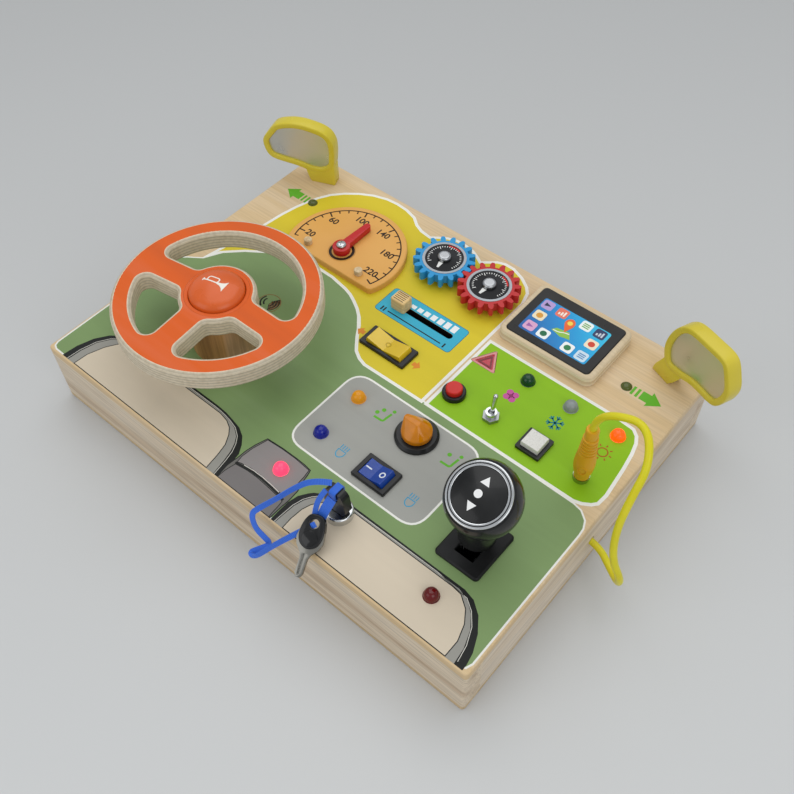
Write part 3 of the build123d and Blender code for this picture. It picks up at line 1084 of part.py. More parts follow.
stem_axis = Rotation(-stem_lean, 0, 0)
neck_low = BOARD_HEIGHT + SHIFTER_NECK_RISE - shifter_pivot_z
neck_high = BOARD_HEIGHT + SHIFTER_NECK_TOP - shifter_pivot_z
with BuildPart() as shifter_lever:
    with BuildSketch():
        Circle(SHIFTER_STEM_RADIUS)
    extrude(amount=neck_high)
    with BuildSketch(Plane.YZ.offset(-SHIFTER_PIN_LENGTH / 2)):
        Circle(SHIFTER_PIN_RADIUS)
    extrude(amount=SHIFTER_PIN_LENGTH)
    with BuildSketch(Plane.YZ.offset(-SHIFTER_STEM_RADIUS + SHIFTER_BOSS_STEP)):
        Circle(SHIFTER_STEM_RADIUS)
    extrude(amount=2 * SHIFTER_STEM_RADIUS - 2 * SHIFTER_BOSS_STEP)
    with BuildSketch(Plane.XY.offset(stem_length)):
        Circle(SHIFTER_STEM_RADIUS - SHIFTER_STEM_STEP)
    extrude(amount=-stem_length + neck_high)
save(shifter_lever, "shifter_lever", Location((SHIFTER_X, SHIFTER_Y, shifter_pivot_z)) * stem_axis)

with BuildPart() as shifter_ball:
    with Locations((0, 0, stem_length)):
        Sphere(SHIFTER_BALL_RADIUS)
    with BuildSketch(Plane.XY.offset(neck_low)):
        Circle(SHIFTER_NECK_RADIUS)
    with BuildSketch(Plane.XY.offset(neck_high)):
        Circle(SHIFTER_NECK_TOP_RADIUS)
    loft()
    with BuildSketch(Plane.XY.offset(neck_low)):
        Circle(SHIFTER_STEM_RADIUS)
    extrude(amount=neck_high - neck_low, mode=Mode.SUBTRACT)
    with BuildSketch(Plane.XY.offset(neck_high)):
        Circle(SHIFTER_STEM_RADIUS - SHIFTER_STEM_STEP)
    extrude(amount=stem_length - neck_high, mode=Mode.SUBTRACT)
    face_tilt = Rotation(SHIFTER_FACE_TILT + stem_lean, 0, 0)
    face_lift = Location((0, 0, SHIFTER_FACE_OFFSET))
    with BuildSketch(Plane(Location((0, 0, stem_length)) * face_tilt * face_lift)):
        Circle(2 * SHIFTER_BALL_RADIUS)
    extrude(amount=SHIFTER_BALL_RADIUS, mode=Mode.SUBTRACT)
save(shifter_ball, "shifter_ball", Location((SHIFTER_X, SHIFTER_Y, shifter_pivot_z)) * stem_axis)

face_place = Location(ball_centre) * Rotation(SHIFTER_FACE_TILT, 0, 0) * face_lift
badge_radius = SHIFTER_RING_RADIUS - SHIFTER_RING_WIDTH
with BuildPart() as shifter_ring:
    with BuildSketch():
        Circle(SHIFTER_RING_RADIUS)
        Circle(badge_radius, mode=Mode.SUBTRACT)
    extrude(amount=SHIFTER_RING_HEIGHT)
    fillet(shifter_ring.faces().sort_by(Axis.Z)[-1].edges(), SHIFTER_RING_ROUND)
save(shifter_ring, "shifter_ring", face_place)

with BuildPart() as shifter_badge:
    with BuildSketch(Plane.XZ):
        with BuildLine():
            Polyline(
                (0, SHIFTER_RING_HEIGHT + SHIFTER_BADGE_DOME),
                (0, 0),
                (badge_radius, 0),
                (badge_radius, SHIFTER_RING_HEIGHT),
            )
            RadiusArc(
                (badge_radius, SHIFTER_RING_HEIGHT),
                (0, SHIFTER_RING_HEIGHT + SHIFTER_BADGE_DOME),
                -dome_radius(badge_radius, SHIFTER_BADGE_DOME),
            )
        make_face()
    revolve(axis=Axis.Z)
save(shifter_badge, "shifter_badge", face_place)

# ================================================================ key switch and keys
lock_top = BOARD_HEIGHT + LOCK_FLANGE_HEIGHT
with BuildPart() as lock_body:
    with BuildSketch(Plane.XY.offset(-LOCK_FLANGE_HEIGHT)):
        Circle(LOCK_FLANGE_RADIUS)
    extrude(amount=LOCK_FLANGE_HEIGHT)
    fillet(lock_body.edges().group_by(Axis.Z)[-1], LOCK_FLANGE_ROUND)
    with BuildSketch(Plane.XY.offset(-LOCK_FLANGE_HEIGHT)):
        Circle(LOCK_BARREL_RADIUS)
    extrude(amount=-LOCK_BARREL_DEPTH)
    with BuildSketch():
        Circle(LOCK_CORE_RADIUS + TURN_CLEARANCE)
    extrude(amount=-LOCK_CORE_DEPTH - FACE_GAP, mode=Mode.SUBTRACT)
save(lock_body, "lock_body", Location((LOCK_X, LOCK_Y, lock_top)))

slot_half_width = KEY_BLADE_WIDTH / 2 + KEY_SLOT_CLEARANCE
with BuildPart() as lock_core:
    with BuildSketch():
        Circle(LOCK_CORE_RADIUS)
    extrude(amount=-LOCK_CORE_DEPTH)
    with BuildSketch():
        Rectangle(2 * slot_half_width, KEY_BLADE_THICKNESS + 2 * KEY_SLOT_CLEARANCE)
    extrude(amount=-KEY_BLADE_LENGTH + KEY_LIFT - KEY_SLOT_CLEARANCE, mode=Mode.SUBTRACT)
save(lock_core, "lock_core", Location((LOCK_X, LOCK_Y, lock_top)))

lock_axis = Vector(LOCK_X, LOCK_Y, 0)
spare_top = lock_axis + Vector(*SPARE_KEY_HEAD_OFFSET)
spare_run = (spare_top - lock_axis - Vector(*SPARE_KEY_TIP_OFFSET)).normalized()
spare_shoulder = spare_top - spare_run * KEY_HEAD_LENGTH
spare_across = spare_run.cross(Vector(0, 0, 1)).normalized()
for name, place in (
    ("key", Location((LOCK_X, LOCK_Y, lock_top + KEY_LIFT))),
    ("spare_key", Plane(spare_shoulder, x_dir=spare_across, z_dir=spare_run).location),
):
    with BuildPart() as grip:
        with BuildSketch(Plane.XZ.offset(-KEY_HEAD_THICKNESS / 2)) as head:
            Polygon(
                (-KEY_HEAD_WIDTH / 2 + KEY_SHOULDER_INSET, 0),
                (-KEY_HEAD_WIDTH / 2, KEY_SHOULDER_HEIGHT),
                (-KEY_HEAD_TOP_WIDTH / 2, KEY_HEAD_LENGTH),
                (KEY_HEAD_TOP_WIDTH / 2, KEY_HEAD_LENGTH),
                (KEY_HEAD_WIDTH / 2, KEY_SHOULDER_HEIGHT),
                (KEY_HEAD_WIDTH / 2 - KEY_SHOULDER_INSET, 0),
                align=None,
            )
            fillet(head.vertices().group_by(Axis.Y)[-1], KEY_HEAD_CORNER)
            with Locations((0, KEY_HEAD_LENGTH - KEY_HOLE_INSET)):
                Circle(KEY_HOLE_RADIUS, mode=Mode.SUBTRACT)
        extrude(amount=KEY_HEAD_THICKNESS)
        with BuildSketch():
            Rectangle(KEY_BLADE_WIDTH, KEY_BLADE_THICKNESS)
        extrude(amount=KEY_TANG, mode=Mode.SUBTRACT)
    save(grip, f"{name}_grip", place)

    with BuildPart() as blade:
        with BuildSketch(Plane.XZ.offset(-KEY_BLADE_THICKNESS / 2)):
            Polygon(
                (-KEY_BLADE_WIDTH / 2, KEY_TANG),
                (-KEY_BLADE_WIDTH / 2, -KEY_BLADE_LENGTH + KEY_BLADE_POINT),
                (0, -KEY_BLADE_LENGTH),
                (KEY_BLADE_WIDTH / 2, -KEY_BLADE_LENGTH + KEY_BLADE_POINT),
                (KEY_BLADE_WIDTH / 2, KEY_TANG),
                align=None,
            )
        extrude(amount=KEY_BLADE_THICKNESS)
    save(blade, f"{name}_blade", place)

loop_inner_depth = KEY_HEAD_THICKNESS + 2 * LOOP_GAP
loop_low = KEY_HEAD_LENGTH - KEY_HOLE_INSET - RIBBON_THICKNESS / 2
loop_high = KEY_HEAD_LENGTH + LOOP_GAP + RIBBON_THICKNESS
loop_plane = Plane(
    (LOCK_X, LOCK_Y, lock_top + KEY_LIFT + (loop_low + loop_high) / 2),
    x_dir=(0, 1, 0),
    z_dir=(1, 0, 0),
)
with BuildPart() as key_loop:
    with BuildSketch(Plane.XY.offset(-LOOP_WIDTH / 2)):
        RectangleRounded(loop_inner_depth + 2 * RIBBON_THICKNESS, loop_high - loop_low, LOOP_CORNER)
        RectangleRounded(
            loop_inner_depth,
            loop_high - loop_low - 2 * RIBBON_THICKNESS,
            LOOP_CORNER - RIBBON_THICKNESS,
            mode=Mode.SUBTRACT,
        )
    extrude(amount=LOOP_WIDTH)
save(key_loop, "key_loop", loop_plane.location)

with BuildPart() as ribbon:
    with BuildSketch(Plane.XY.offset(-RIBBON_THICKNESS / 2)):
        with BuildLine():
            ribbon_line = FilletPolyline(*RIBBON_ROUTE, radius=RIBBON_TURN)
        trace(ribbon_line, RIBBON_WIDTH)
    extrude(amount=RIBBON_THICKNESS)
ribbon_start = lock_axis + Vector(*RIBBON_START_OFFSET)
save(ribbon, "ribbon", Plane(ribbon_start, x_dir=RIBBON_ACROSS, z_dir=RIBBON_FACING).location)

# ================================================================ jack, plug and cord
jack_top = BOARD_HEIGHT + JACK_NUT_HEIGHT
with BuildPart() as jack:
    with BuildSketch():
        Circle(JACK_NUT_RADIUS)
    extrude(amount=JACK_NUT_HEIGHT)
    with BuildSketch():
        Circle(JACK_BARREL_RADIUS)
    extrude(amount=-TOP_THICKNESS)
    with BuildSketch(Plane.XY.offset(-TOP_THICKNESS)):
        Circle(JACK_BODY_RADIUS)
    extrude(amount=-JACK_BODY_DEPTH)
    with BuildSketch(Plane.XY.offset(JACK_NUT_HEIGHT)):
        Circle(PLUG_PIN_RADIUS + SLIDE_CLEARANCE)
    extrude(amount=-PLUG_PIN_LENGTH - PLUG_PIN_ROOM, mode=Mode.SUBTRACT)
save(jack, "jack", Location((JACK_X, JACK_Y, BOARD_HEIGHT)))

with BuildPart() as plug:
    with BuildSketch(Plane.XZ):
        with BuildLine():
            Polyline(
                (0, PLUG_HEIGHT),
                (0, -PLUG_PIN_LENGTH),
                (PLUG_PIN_RADIUS - PLUG_PIN_TAPER, -PLUG_PIN_LENGTH),
                (PLUG_PIN_RADIUS, -PLUG_PIN_LENGTH + PLUG_PIN_TAPER_LENGTH),
                (PLUG_PIN_RADIUS, 0),
                (PLUG_COLLAR_RADIUS, 0),
                (PLUG_COLLAR_RADIUS, PLUG_COLLAR_HEIGHT),
            )
            Spline(
                (PLUG_COLLAR_RADIUS, PLUG_COLLAR_HEIGHT),
                (PLUG_BELLY_RADIUS, PLUG_BELLY_RISE),
                (PLUG_NECK_RADIUS, PLUG_HEIGHT),
                tangents=[(0.5, 1), (0, 1)],
            )
            Line((PLUG_NECK_RADIUS, PLUG_HEIGHT), (0, PLUG_HEIGHT))
        make_face()
    revolve(axis=Axis.Z)
save(plug, "plug", Location((JACK_X, JACK_Y, jack_top + FACE_GAP)))


def turn_radii(route):
    """Bend radius at each inner point: 0.45 of the shorter run over the tangent of half the turn."""
    points = [Vector(*point) for point in route]
    radii = []
    for before, corner, after in zip(points, points[1:], points[2:]):
        arriving, leaving = corner - before, after - corner
        half_turn = radians(arriving.get_angle(leaving)) / 2
        radii.append(0.45 * min(arriving.length, leaving.length) / tan(half_turn))
    return radii


cord_radii = turn_radii(CORD_ROUTE)
print("cord bend radii, mm:", [round(radius, 1) for radius in cord_radii])

with BuildPart() as cord:
    with BuildLine() as cord_line:
        FilletPolyline(*CORD_ROUTE, radius=cord_radii)
    with BuildSketch(Plane(origin=cord_line.line @ 0, z_dir=cord_line.line % 0)):
        Circle(CORD_RADIUS)
    sweep(path=cord_line.line)
save(cord, "cord")

cord_start_x = CORD_ROUTE[0][0]
knot_x = CAVITY_LENGTH / 2 - CORD_KNOT_RADIUS
with BuildPart() as cord_knot:
    Sphere(CORD_KNOT_RADIUS)
    with BuildSketch(Plane.YZ):
        Circle(CORD_RADIUS)
    extrude(amount=cord_start_x - knot_x)
save(cord_knot, "cord_knot", Location((knot_x, CORD_HOLE_Y, CORD_HOLE_Z)))

# ================================================================ lamps
collar_top = BOARD_HEIGHT + LAMP_COLLAR
with BuildPart() as lamps:
    for places, radius in ((LAMPS, LAMP_RADIUS), (TURN_LAMPS, TURN_LAMP_RADIUS)):
        with BuildSketch(Plane.XY.offset(PANEL_UNDER - LAMP_FLANGE_HEIGHT)):
            with Locations(*places):
                Circle(radius + LAMP_FLANGE_LAP)
        extrude(amount=LAMP_FLANGE_HEIGHT)
        with BuildSketch(Plane.XY.offset(PANEL_UNDER)):
            with Locations(*places):
                Circle(radius)
        extrude(amount=TOP_THICKNESS + LAMP_COLLAR)
    with Locations(*[(x, y, collar_top) for x, y in LAMPS]):
        Sphere(LAMP_RADIUS, arc_size1=0)
    with BuildSketch(Plane.XY.offset(collar_top)):
        with Locations(*TURN_LAMPS):
            Circle(TURN_LAMP_RADIUS)
    extrude(amount=TURN_LAMP_DOME, taper=TURN_LAMP_TAPER)
    with BuildSketch(Plane.XY.offset(PANEL_UNDER - LAMP_FLANGE_HEIGHT)):
        with Locations(*LAMPS, *TURN_LAMPS):
            with Locations((-LAMP_LEG_SPREAD / 2, 0), (LAMP_LEG_SPREAD / 2, 0)):
                Rectangle(LAMP_LEG_WIDTH, LAMP_LEG_WIDTH)
    extrude(amount=-LAMP_LEG_LENGTH)
save(lamps, "lamps")

with BuildPart() as hazard_lens:
    with BuildSketch(Plane.XY.offset(PANEL_UNDER)) as lens_outline:
        Polygon(*HAZARD_POINTS, align=None)
        fillet(lens_outline.vertices(), HAZARD_CORNER)
        offset(amount=-HAZARD_CLEARANCE, mode=Mode.REPLACE)
    extrude(amount=TOP_THICKNESS - HAZARD_SINK)
    with BuildSketch(Plane.XY.offset(PANEL_UNDER)) as flange_outline:
        Polygon(*HAZARD_POINTS, align=None)
        fillet(flange_outline.vertices(), HAZARD_CORNER)
        offset(amount=HAZARD_FLANGE, mode=Mode.REPLACE)
    extrude(amount=-HAZARD_FLANGE)
save(hazard_lens, "hazard_lens", Location((HAZARD_X, HAZARD_Y, 0)))

# ================================================================ toy screen
glass_floor = SCREEN_HEIGHT + GLASS_PROUD - GLASS_THICKNESS
with BuildPart() as screen_body:
    with BuildSketch():
        RectangleRounded(SCREEN_LENGTH, SCREEN_WIDTH, SCREEN_CORNER)
    extrude(amount=SCREEN_HEIGHT)
    fillet(screen_body.faces().sort_by(Axis.Z)[-1].edges(), SCREEN_ROUND)
    with BuildSketch(Plane.XY.offset(glass_floor)):
        RectangleRounded(
            GLASS_LENGTH + 2 * GLASS_CLEARANCE, GLASS_WIDTH + 2 * GLASS_CLEARANCE, GLASS_CORNER
        )
    extrude(amount=GLASS_THICKNESS, mode=Mode.SUBTRACT)
save(screen_body, "screen_body", Location((SCREEN_X, SCREEN_Y, BOARD_HEIGHT)))

with BuildPart() as screen_glass:
    with BuildSketch():
        RectangleRounded(GLASS_LENGTH, GLASS_WIDTH, GLASS_CORNER)
    extrude(amount=GLASS_THICKNESS)
    chamfer(screen_glass.faces().sort_by(Axis.Z)[-1].edges(), GLASS_CHAMFER)
save(screen_glass, "screen_glass", Location((SCREEN_X, SCREEN_Y, BOARD_HEIGHT + glass_floor)))

# ================================================================ wing mirrors
mirror_plane = Plane(
    (MIRROR_X, MIRROR_Y, BOARD_HEIGHT),
    x_dir=(cos(radians(MIRROR_YAW)), -sin(radians(MIRROR_YAW)), 0),
    z_dir=(-sin(radians(MIRROR_YAW)), -cos(radians(MIRROR_YAW)), 0),
)
with BuildPart() as mirror_frames:
    with BuildSketch(mirror_plane) as head_outline:
        Polygon(*MIRROR_HEAD, align=None)
        fillet(head_outline.vertices(), MIRROR_HEAD_CORNER)
    extrude(amount=-MIRROR_THICKNESS)
    rims = mirror_frames.faces().filter_by(Axis(mirror_plane.origin, mirror_plane.z_dir))
    fillet(rims.edges(), MIRROR_ROUND)
    with BuildSketch(mirror_plane):
        Polygon(*MIRROR_FOOT, align=None)
    extrude(amount=-MIRROR_THICKNESS)
    with BuildSketch(Plane.XY.offset(BOARD_HEIGHT)):
        with Locations((MIRROR_DOWEL_X, MIRROR_DOWEL_Y)):
            Circle(MIRROR_DOWEL_RADIUS)
    extrude(amount=-MIRROR_DOWEL_DEPTH)
    with BuildSketch(mirror_plane) as recess_outline:
        Polygon(*MIRROR_HEAD, align=None)
        fillet(recess_outline.vertices(), MIRROR_HEAD_CORNER)
        offset(amount=-MIRROR_BORDER, mode=Mode.REPLACE)
    extrude(amount=-MIRROR_RECESS, mode=Mode.SUBTRACT)
    mirror(about=Plane.YZ)
save(mirror_frames, "mirror_frames")

with BuildPart() as mirror_glasses:
    with BuildSketch(mirror_plane.offset(-MIRROR_RECESS)) as glass_outline:
        Polygon(*MIRROR_HEAD, align=None)
        fillet(glass_outline.vertices(), MIRROR_HEAD_CORNER)
        offset(amount=-MIRROR_BORDER - MIRROR_GLASS_CLEARANCE, mode=Mode.REPLACE)
    extrude(amount=MIRROR_GLASS_THICKNESS)
    mirror(about=Plane.YZ)
save(mirror_glasses, "mirror_glasses")
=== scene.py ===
"""Finishes of the wooden busy board: printed panel, wood, lacquer, plastic, metal, tape and cord.

Every piece is placed in metres in the CAD model's own frame, with +X to the right, +Y away from
the child and +Z up out of the printed face. Print outlines are given in millimetres from the
board's front left corner.
"""

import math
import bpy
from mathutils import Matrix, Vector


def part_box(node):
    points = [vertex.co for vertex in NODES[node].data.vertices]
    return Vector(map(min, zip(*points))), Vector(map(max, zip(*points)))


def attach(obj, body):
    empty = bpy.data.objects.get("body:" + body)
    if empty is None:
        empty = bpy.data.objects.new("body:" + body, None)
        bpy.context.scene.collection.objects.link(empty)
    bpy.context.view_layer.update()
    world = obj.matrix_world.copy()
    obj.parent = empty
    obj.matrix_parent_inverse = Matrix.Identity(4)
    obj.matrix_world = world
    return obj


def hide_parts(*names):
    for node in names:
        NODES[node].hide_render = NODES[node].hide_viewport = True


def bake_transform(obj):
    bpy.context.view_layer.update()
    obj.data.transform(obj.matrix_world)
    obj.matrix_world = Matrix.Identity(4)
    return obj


bl_info = {
    "name": "Wooden busy board",
    "version": (1, 0, 0),
    "blender": (4, 5, 0),
    "location": "View3D > Sidebar > Busy board",
    "description": "Dresses the packed busy board with its prints, finishes, cord and stage",
    "category": "Object",
}

import bpy
from bpy.props import FloatProperty, FloatVectorProperty, PointerProperty
from mathutils import Matrix, Vector

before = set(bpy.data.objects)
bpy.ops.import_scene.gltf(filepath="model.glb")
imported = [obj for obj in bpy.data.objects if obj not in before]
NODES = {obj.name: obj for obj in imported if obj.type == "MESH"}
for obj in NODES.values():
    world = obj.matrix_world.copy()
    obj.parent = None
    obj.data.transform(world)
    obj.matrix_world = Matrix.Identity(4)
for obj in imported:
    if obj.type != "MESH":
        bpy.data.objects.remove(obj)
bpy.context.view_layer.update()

MM = 0.001
BOARD_LOW, BOARD_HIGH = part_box("top_panel")
FACE = BOARD_HIGH.z / MM                     # height of the printed face
INK_STEP = 0.03                              # each print lies this far above the one under it
NUMERAL_WEIGHT = 0.00012                     # thickens the numerals, in metres
TURN = 2 * math.pi
MERGE = 1e-6                                 # vertices nearer than this are one, in metres


# ---------------------------------------------------------------- colours and materials
def srgb(code):
    """Linear colour from its hexadecimal code."""
    parts = [int(code[i:i + 2], 16) / 255 for i in (0, 2, 4)]
    return tuple(c / 12.92 if c <= 0.04045 else ((c + 0.055) / 1.055) ** 2.4 for c in parts)


def darker(colour, share):
    """The colour, darkened by this share."""
    return tuple(c * (1 - share) for c in colour)


def lighter(colour, share):
    """The colour, brought this share of the way to white."""
    return tuple(c + (1 - c) * share for c in colour)


class Finish:
    """A material under construction: its shader, its node tree and Object coordinates."""

    def __init__(self, name, colour, roughness=0.5, metallic=0.0, **sockets):
        self.material = bpy.data.materials.new(name)
        self.material.use_nodes = True
        self.tree = self.material.node_tree
        self.shader = self.tree.nodes["Principled BSDF"]
        self.set("Base Color", (*colour, 1.0))
        self.set("Roughness", roughness)
        self.set("Metallic", metallic)
        for socket, value in sockets.items():
            self.set(socket.replace("_", " "), value)
        self.coordinates = self.add("ShaderNodeTexCoord").outputs["Object"]

    def set(self, socket, value):
        self.shader.inputs[socket].default_value = value

    def add(self, kind, **inputs):
        """New node; numbers and colours set its sockets, outputs are linked to them."""
        made = self.tree.nodes.new(kind)
        for socket, value in inputs.items():
            target = made.inputs[socket.replace("_", " ")]
            if isinstance(value, bpy.types.NodeSocket):
                self.tree.links.new(value, target)
            else:
                target.default_value = value
        return made

    def link(self, output, socket):
        self.tree.links.new(output, self.shader.inputs[socket])

    def mapped(self, scale, turn=(0, 0, 0)):
        """Object coordinates, stretched and turned."""
        made = self.add(
            "ShaderNodeMapping", Vector=self.coordinates, Scale=scale, Rotation=turn
        )
        return made.outputs[0]

    def noise(self, scale, detail=4.0, stretch=(1, 1, 1), distortion=0.0):
        """Noise on Object coordinates, in cycles a metre."""
        made = self.add(
            "ShaderNodeTexNoise", Vector=self.mapped(stretch), Scale=scale, Detail=detail,
            Distortion=distortion,
        )
        return made.outputs["Fac"]

    def ramp(self, factor, *stops):
        """Colour ramp through (position, colour) stops."""
        made = self.add("ShaderNodeValToRGB", Fac=factor)
        band = made.color_ramp
        while len(band.elements) < len(stops):
            band.elements.new(0.5)
        for element, (position, colour) in zip(band.elements, stops):
            element.position = position
            element.color = (*colour, 1.0)
        return made.outputs["Color"]

    def mix(self, factor, first, second, blend="MIX"):
        """Two colours mixed by a varying factor."""
        made = self.tree.nodes.new("ShaderNodeMix")
        made.data_type = "RGBA"
        made.blend_type = blend
        sockets = {"Factor": made.inputs[0], "A": made.inputs[6], "B": made.inputs[7]}
        for key, value in (("Factor", factor), ("A", first), ("B", second)):
            if isinstance(value, bpy.types.NodeSocket):
                self.tree.links.new(value, sockets[key])
            else:
                sockets[key].default_value = value if key == "Factor" else (*value, 1.0)
        return made.outputs[2]

    def math(self, operation, first, second=0.0):
        """One sum on a varying number."""
        made = self.tree.nodes.new("ShaderNodeMath")
        made.operation = operation
        for socket, value in zip(made.inputs, (first, second)):
            if isinstance(value, bpy.types.NodeSocket):
                self.tree.links.new(value, socket)
            else:
                socket.default_value = value
        return made.outputs[0]

    def height(self):
        """Object Z, in metres."""
        return self.add("ShaderNodeSeparateXYZ", Vector=self.coordinates).outputs["Z"]

    def bump(self, height, strength, distance):
        made = self.add("ShaderNodeBump", Height=height, Strength=strength, Distance=distance * MM)
        self.link(made.outputs["Normal"], "Normal")

    def rough(self, factor, low, high):
        """Roughness that wanders between two values."""
        shade = self.ramp(factor, (0.3, (low,) * 3), (0.7, (high,) * 3))
        self.link(shade, "Roughness")


def wood(
    name, pale, dark, along=(1, 0, 0), roughness=0.62, ply=None, streak=1.0, speck=0.25, painted_slot_shade=None
):
    """Bare wood: long grain, fine pores, plywood layers by height and painted shade in a slot."""
    made = Finish(name, pale, roughness, Specular_IOR_Level=0.35)
    across = tuple(0.06 if axis else 1.0 for axis in along)
    fine = tuple(0.03 if axis else 1.0 for axis in along)
    broad = made.noise(60 * streak, 5.0, across, 0.6)
    pores = made.noise(900, 3.0, fine)
    colour = made.ramp(
        broad, (0.25, dark), (0.45, pale), (0.62, lighter(pale, 0.10)), (0.8, darker(pale, 0.10))
    )
    pore_shade = made.ramp(pores, (0.35, (1 - speck,) * 3), (0.6, (1, 1, 1)))
    colour = made.mix(0.9, colour, pore_shade, "MULTIPLY")
    if ply:
        pitch, offset = ply
        layer = made.math("FRACT", made.math("MULTIPLY", made.height(), 1 / (pitch * MM)))
        shade = made.ramp(
            made.math("FRACT", made.math("ADD", layer, offset)),
            (0.0, (1.0, 1.0, 1.0)),
            (0.42, (0.90, 0.86, 0.78)),
            (0.47, (0.62, 0.52, 0.40)),
            (0.52, (0.80, 0.72, 0.60)),
            (0.93, (0.70, 0.60, 0.47)),
            (0.98, (1.0, 0.98, 0.94)),
        )
        colour = made.mix(0.75, colour, shade, "MULTIPLY")
    # Painted shade: below the printed face the slot's walls are coloured near black, for the shade
    # inside the narrow slot.
    if painted_slot_shade:
        x, y, length, width, face = painted_slot_shade
        place = made.add("ShaderNodeSeparateXYZ", Vector=made.coordinates).outputs
        inside = made.math("LESS_THAN", place["Z"], (face - 0.2) * MM)
        for axis, middle, reach in (("X", x, length / 2), ("Y", y, width / 2)):
            away = made.math("ABSOLUTE", made.math("SUBTRACT", place[axis], middle * MM))
            near = made.math("LESS_THAN", away, (reach + 0.3) * MM)
            inside = made.math("MULTIPLY", inside, near)
        colour = made.mix(inside, colour, srgb("0B0908"))
    made.link(colour, "Base Color")
    made.rough(broad, roughness - 0.08, roughness + 0.08)
    made.bump(made.math("ADD", broad, made.math("MULTIPLY", pores, 0.6)), 0.25, 0.12)
    return made.material


def ink(name, colour, roughness=0.46):
    """Ink printed on the wooden panel: its grain shows through faintly."""
    made = Finish(name, colour, roughness, Specular_IOR_Level=0.22)
    grain = made.noise(55, 5.0, (0.07, 1, 1), 0.5)
    blotch = made.noise(14, 2.0)
    shade = made.ramp(
        grain, (0.3, darker(colour, 0.07)), (0.55, colour), (0.8, lighter(colour, 0.03))
    )
    tone = made.ramp(blotch, (0.35, (0.95, 0.95, 0.95)), (0.65, (1, 1, 1)))
    made.link(made.mix(0.8, shade, tone, "MULTIPLY"), "Base Color")
    made.rough(blotch, roughness - 0.06, roughness + 0.06)
    made.bump(made.noise(420, 4.0, (0.12, 1, 1)), 0.08, 0.08)
    return made.material


def lacquer(name, colour, roughness=0.38):
    """Sprayed lacquer over wood, with a slight orange peel."""
    made = Finish(
        name, colour, roughness, Coat_Weight=0.08, Coat_Roughness=0.25, Specular_IOR_Level=0.25
    )
    peel = made.noise(700, 2.0)
    blotch = made.noise(22, 3.0)
    tone = made.ramp(blotch, (0.3, darker(colour, 0.08)), (0.7, lighter(colour, 0.03)))
    made.link(tone, "Base Color")
    made.rough(blotch, roughness - 0.07, roughness + 0.07)
    made.bump(peel, 0.10, 0.06)
    return made.material


def plastic(name, colour, roughness=0.4, grain=0.12, scale=900, coat=0.0, depth=0.0):
    """Moulded plastic with a fine surface grain; depth lets light into soft vinyl."""
    made = Finish(
        name, colour, roughness, Coat_Weight=coat, Coat_Roughness=0.06, Subsurface_Weight=depth,
        Subsurface_Scale=0.002, Specular_IOR_Level=0.25,
    )
    speck = made.noise(scale, 3.0)
    blotch = made.noise(45, 3.0)
    shade = made.ramp(blotch, (0.3, darker(colour, 0.10)), (0.7, lighter(colour, 0.02)))
    made.link(shade, "Base Color")
    made.rough(blotch, max(roughness - 0.05, 0.03), roughness + 0.05)
    made.bump(speck, grain, 0.05)
    return made.material


def clear(name, colour, glow=0.0, roughness=0.12, depth=0.75):
    """Tinted clear plastic; a lit one glows."""
    made = Finish(
        name, colour, roughness, Transmission_Weight=depth, IOR=1.46, Coat_Weight=0.15,
        Coat_Roughness=0.05, Specular_IOR_Level=0.35,
    )
    swirl = made.noise(260, 3.0)
    made.link(made.ramp(swirl, (0.3, darker(colour, 0.18)), (0.7, colour)), "Base Color")
    made.rough(swirl, roughness - 0.04, roughness + 0.05)
    if glow:
        made.set("Emission Color", (*colour, 1.0))
        made.set("Emission Strength", glow)
    return made.material


def metal(name, colour, roughness=0.2, wear=0.12):
    """Plated metal with faint wear and fine scratches."""
    made = Finish(name, colour, roughness, 1.0)
    smear = made.noise(70, 4.0)
    line = made.noise(1600, 2.0)
    made.link(made.ramp(smear, (0.3, darker(colour, wear)), (0.7, colour)), "Base Color")
    made.rough(smear, roughness * 0.75, roughness * 1.35)
    made.bump(line, 0.06, 0.03)
    return made.material


# ---------------------------------------------------------------- modelling by hand
def deselect():
    """Nothing selected, in object mode."""
    if bpy.context.object and bpy.context.object.mode != "OBJECT":
        bpy.ops.object.mode_set(mode="OBJECT")
    bpy.ops.object.select_all(action="DESELECT")


def pick(*pieces):
    """Only these pieces selected, the first one active."""
    deselect()
    for piece in pieces:
        piece.select_set(True)
    bpy.context.view_layer.objects.active = pieces[0]


def edit(piece):
    """The piece in edit mode, selected all over."""
    pick(piece)
    bpy.ops.object.mode_set(mode="EDIT")
    bpy.ops.mesh.select_all(action="SELECT")


def leave():
    """Back to object mode; doubles merged and normals outward first."""
    bpy.ops.mesh.select_all(action="SELECT")
    bpy.ops.mesh.remove_doubles(threshold=MERGE)
    bpy.ops.mesh.normals_make_consistent(inside=False)
    bpy.ops.object.mode_set(mode="OBJECT")


def corner(x, y):
    """Millimetres from the board's front left corner, in the CAD frame."""
    return Vector((x + BOARD_LOW.x / MM, y + BOARD_LOW.y / MM))


def at(x, y, z=0.0, turn=0.0):
    """Place, in millimetres and degrees about Z."""
    return Matrix.Translation(Vector((x, y, z)) * MM) @ Matrix.Rotation(math.radians(turn), 4, "Z")


def placed(origin, *axes):
    """Place at a point in millimetres, turned to three axes."""
    return Matrix.Translation(Vector(origin) * MM) @ Matrix(axes).transposed().to_4x4()


def toward(degrees):
    """Unit vector in this direction."""
    angle = math.radians(degrees)
    return Vector((math.cos(angle), math.sin(angle)))


def shifted(x, y, points, flip=1):
    """Points moved to a place; flip -1 mirrors them left to right first."""
    return [(x + flip * a, y + b) for a, b in points]


def circle(x, y, radius, count=32, start=0.0, sweep=360.0):
    """Points of a circle, or of an arc where the sweep is less."""
    steps = count if sweep == 360.0 else count - 1
    angles = [math.radians(start + sweep * i / steps) for i in range(count)]
    return [Vector((x + radius * math.cos(a), y + radius * math.sin(a))) for a in angles]


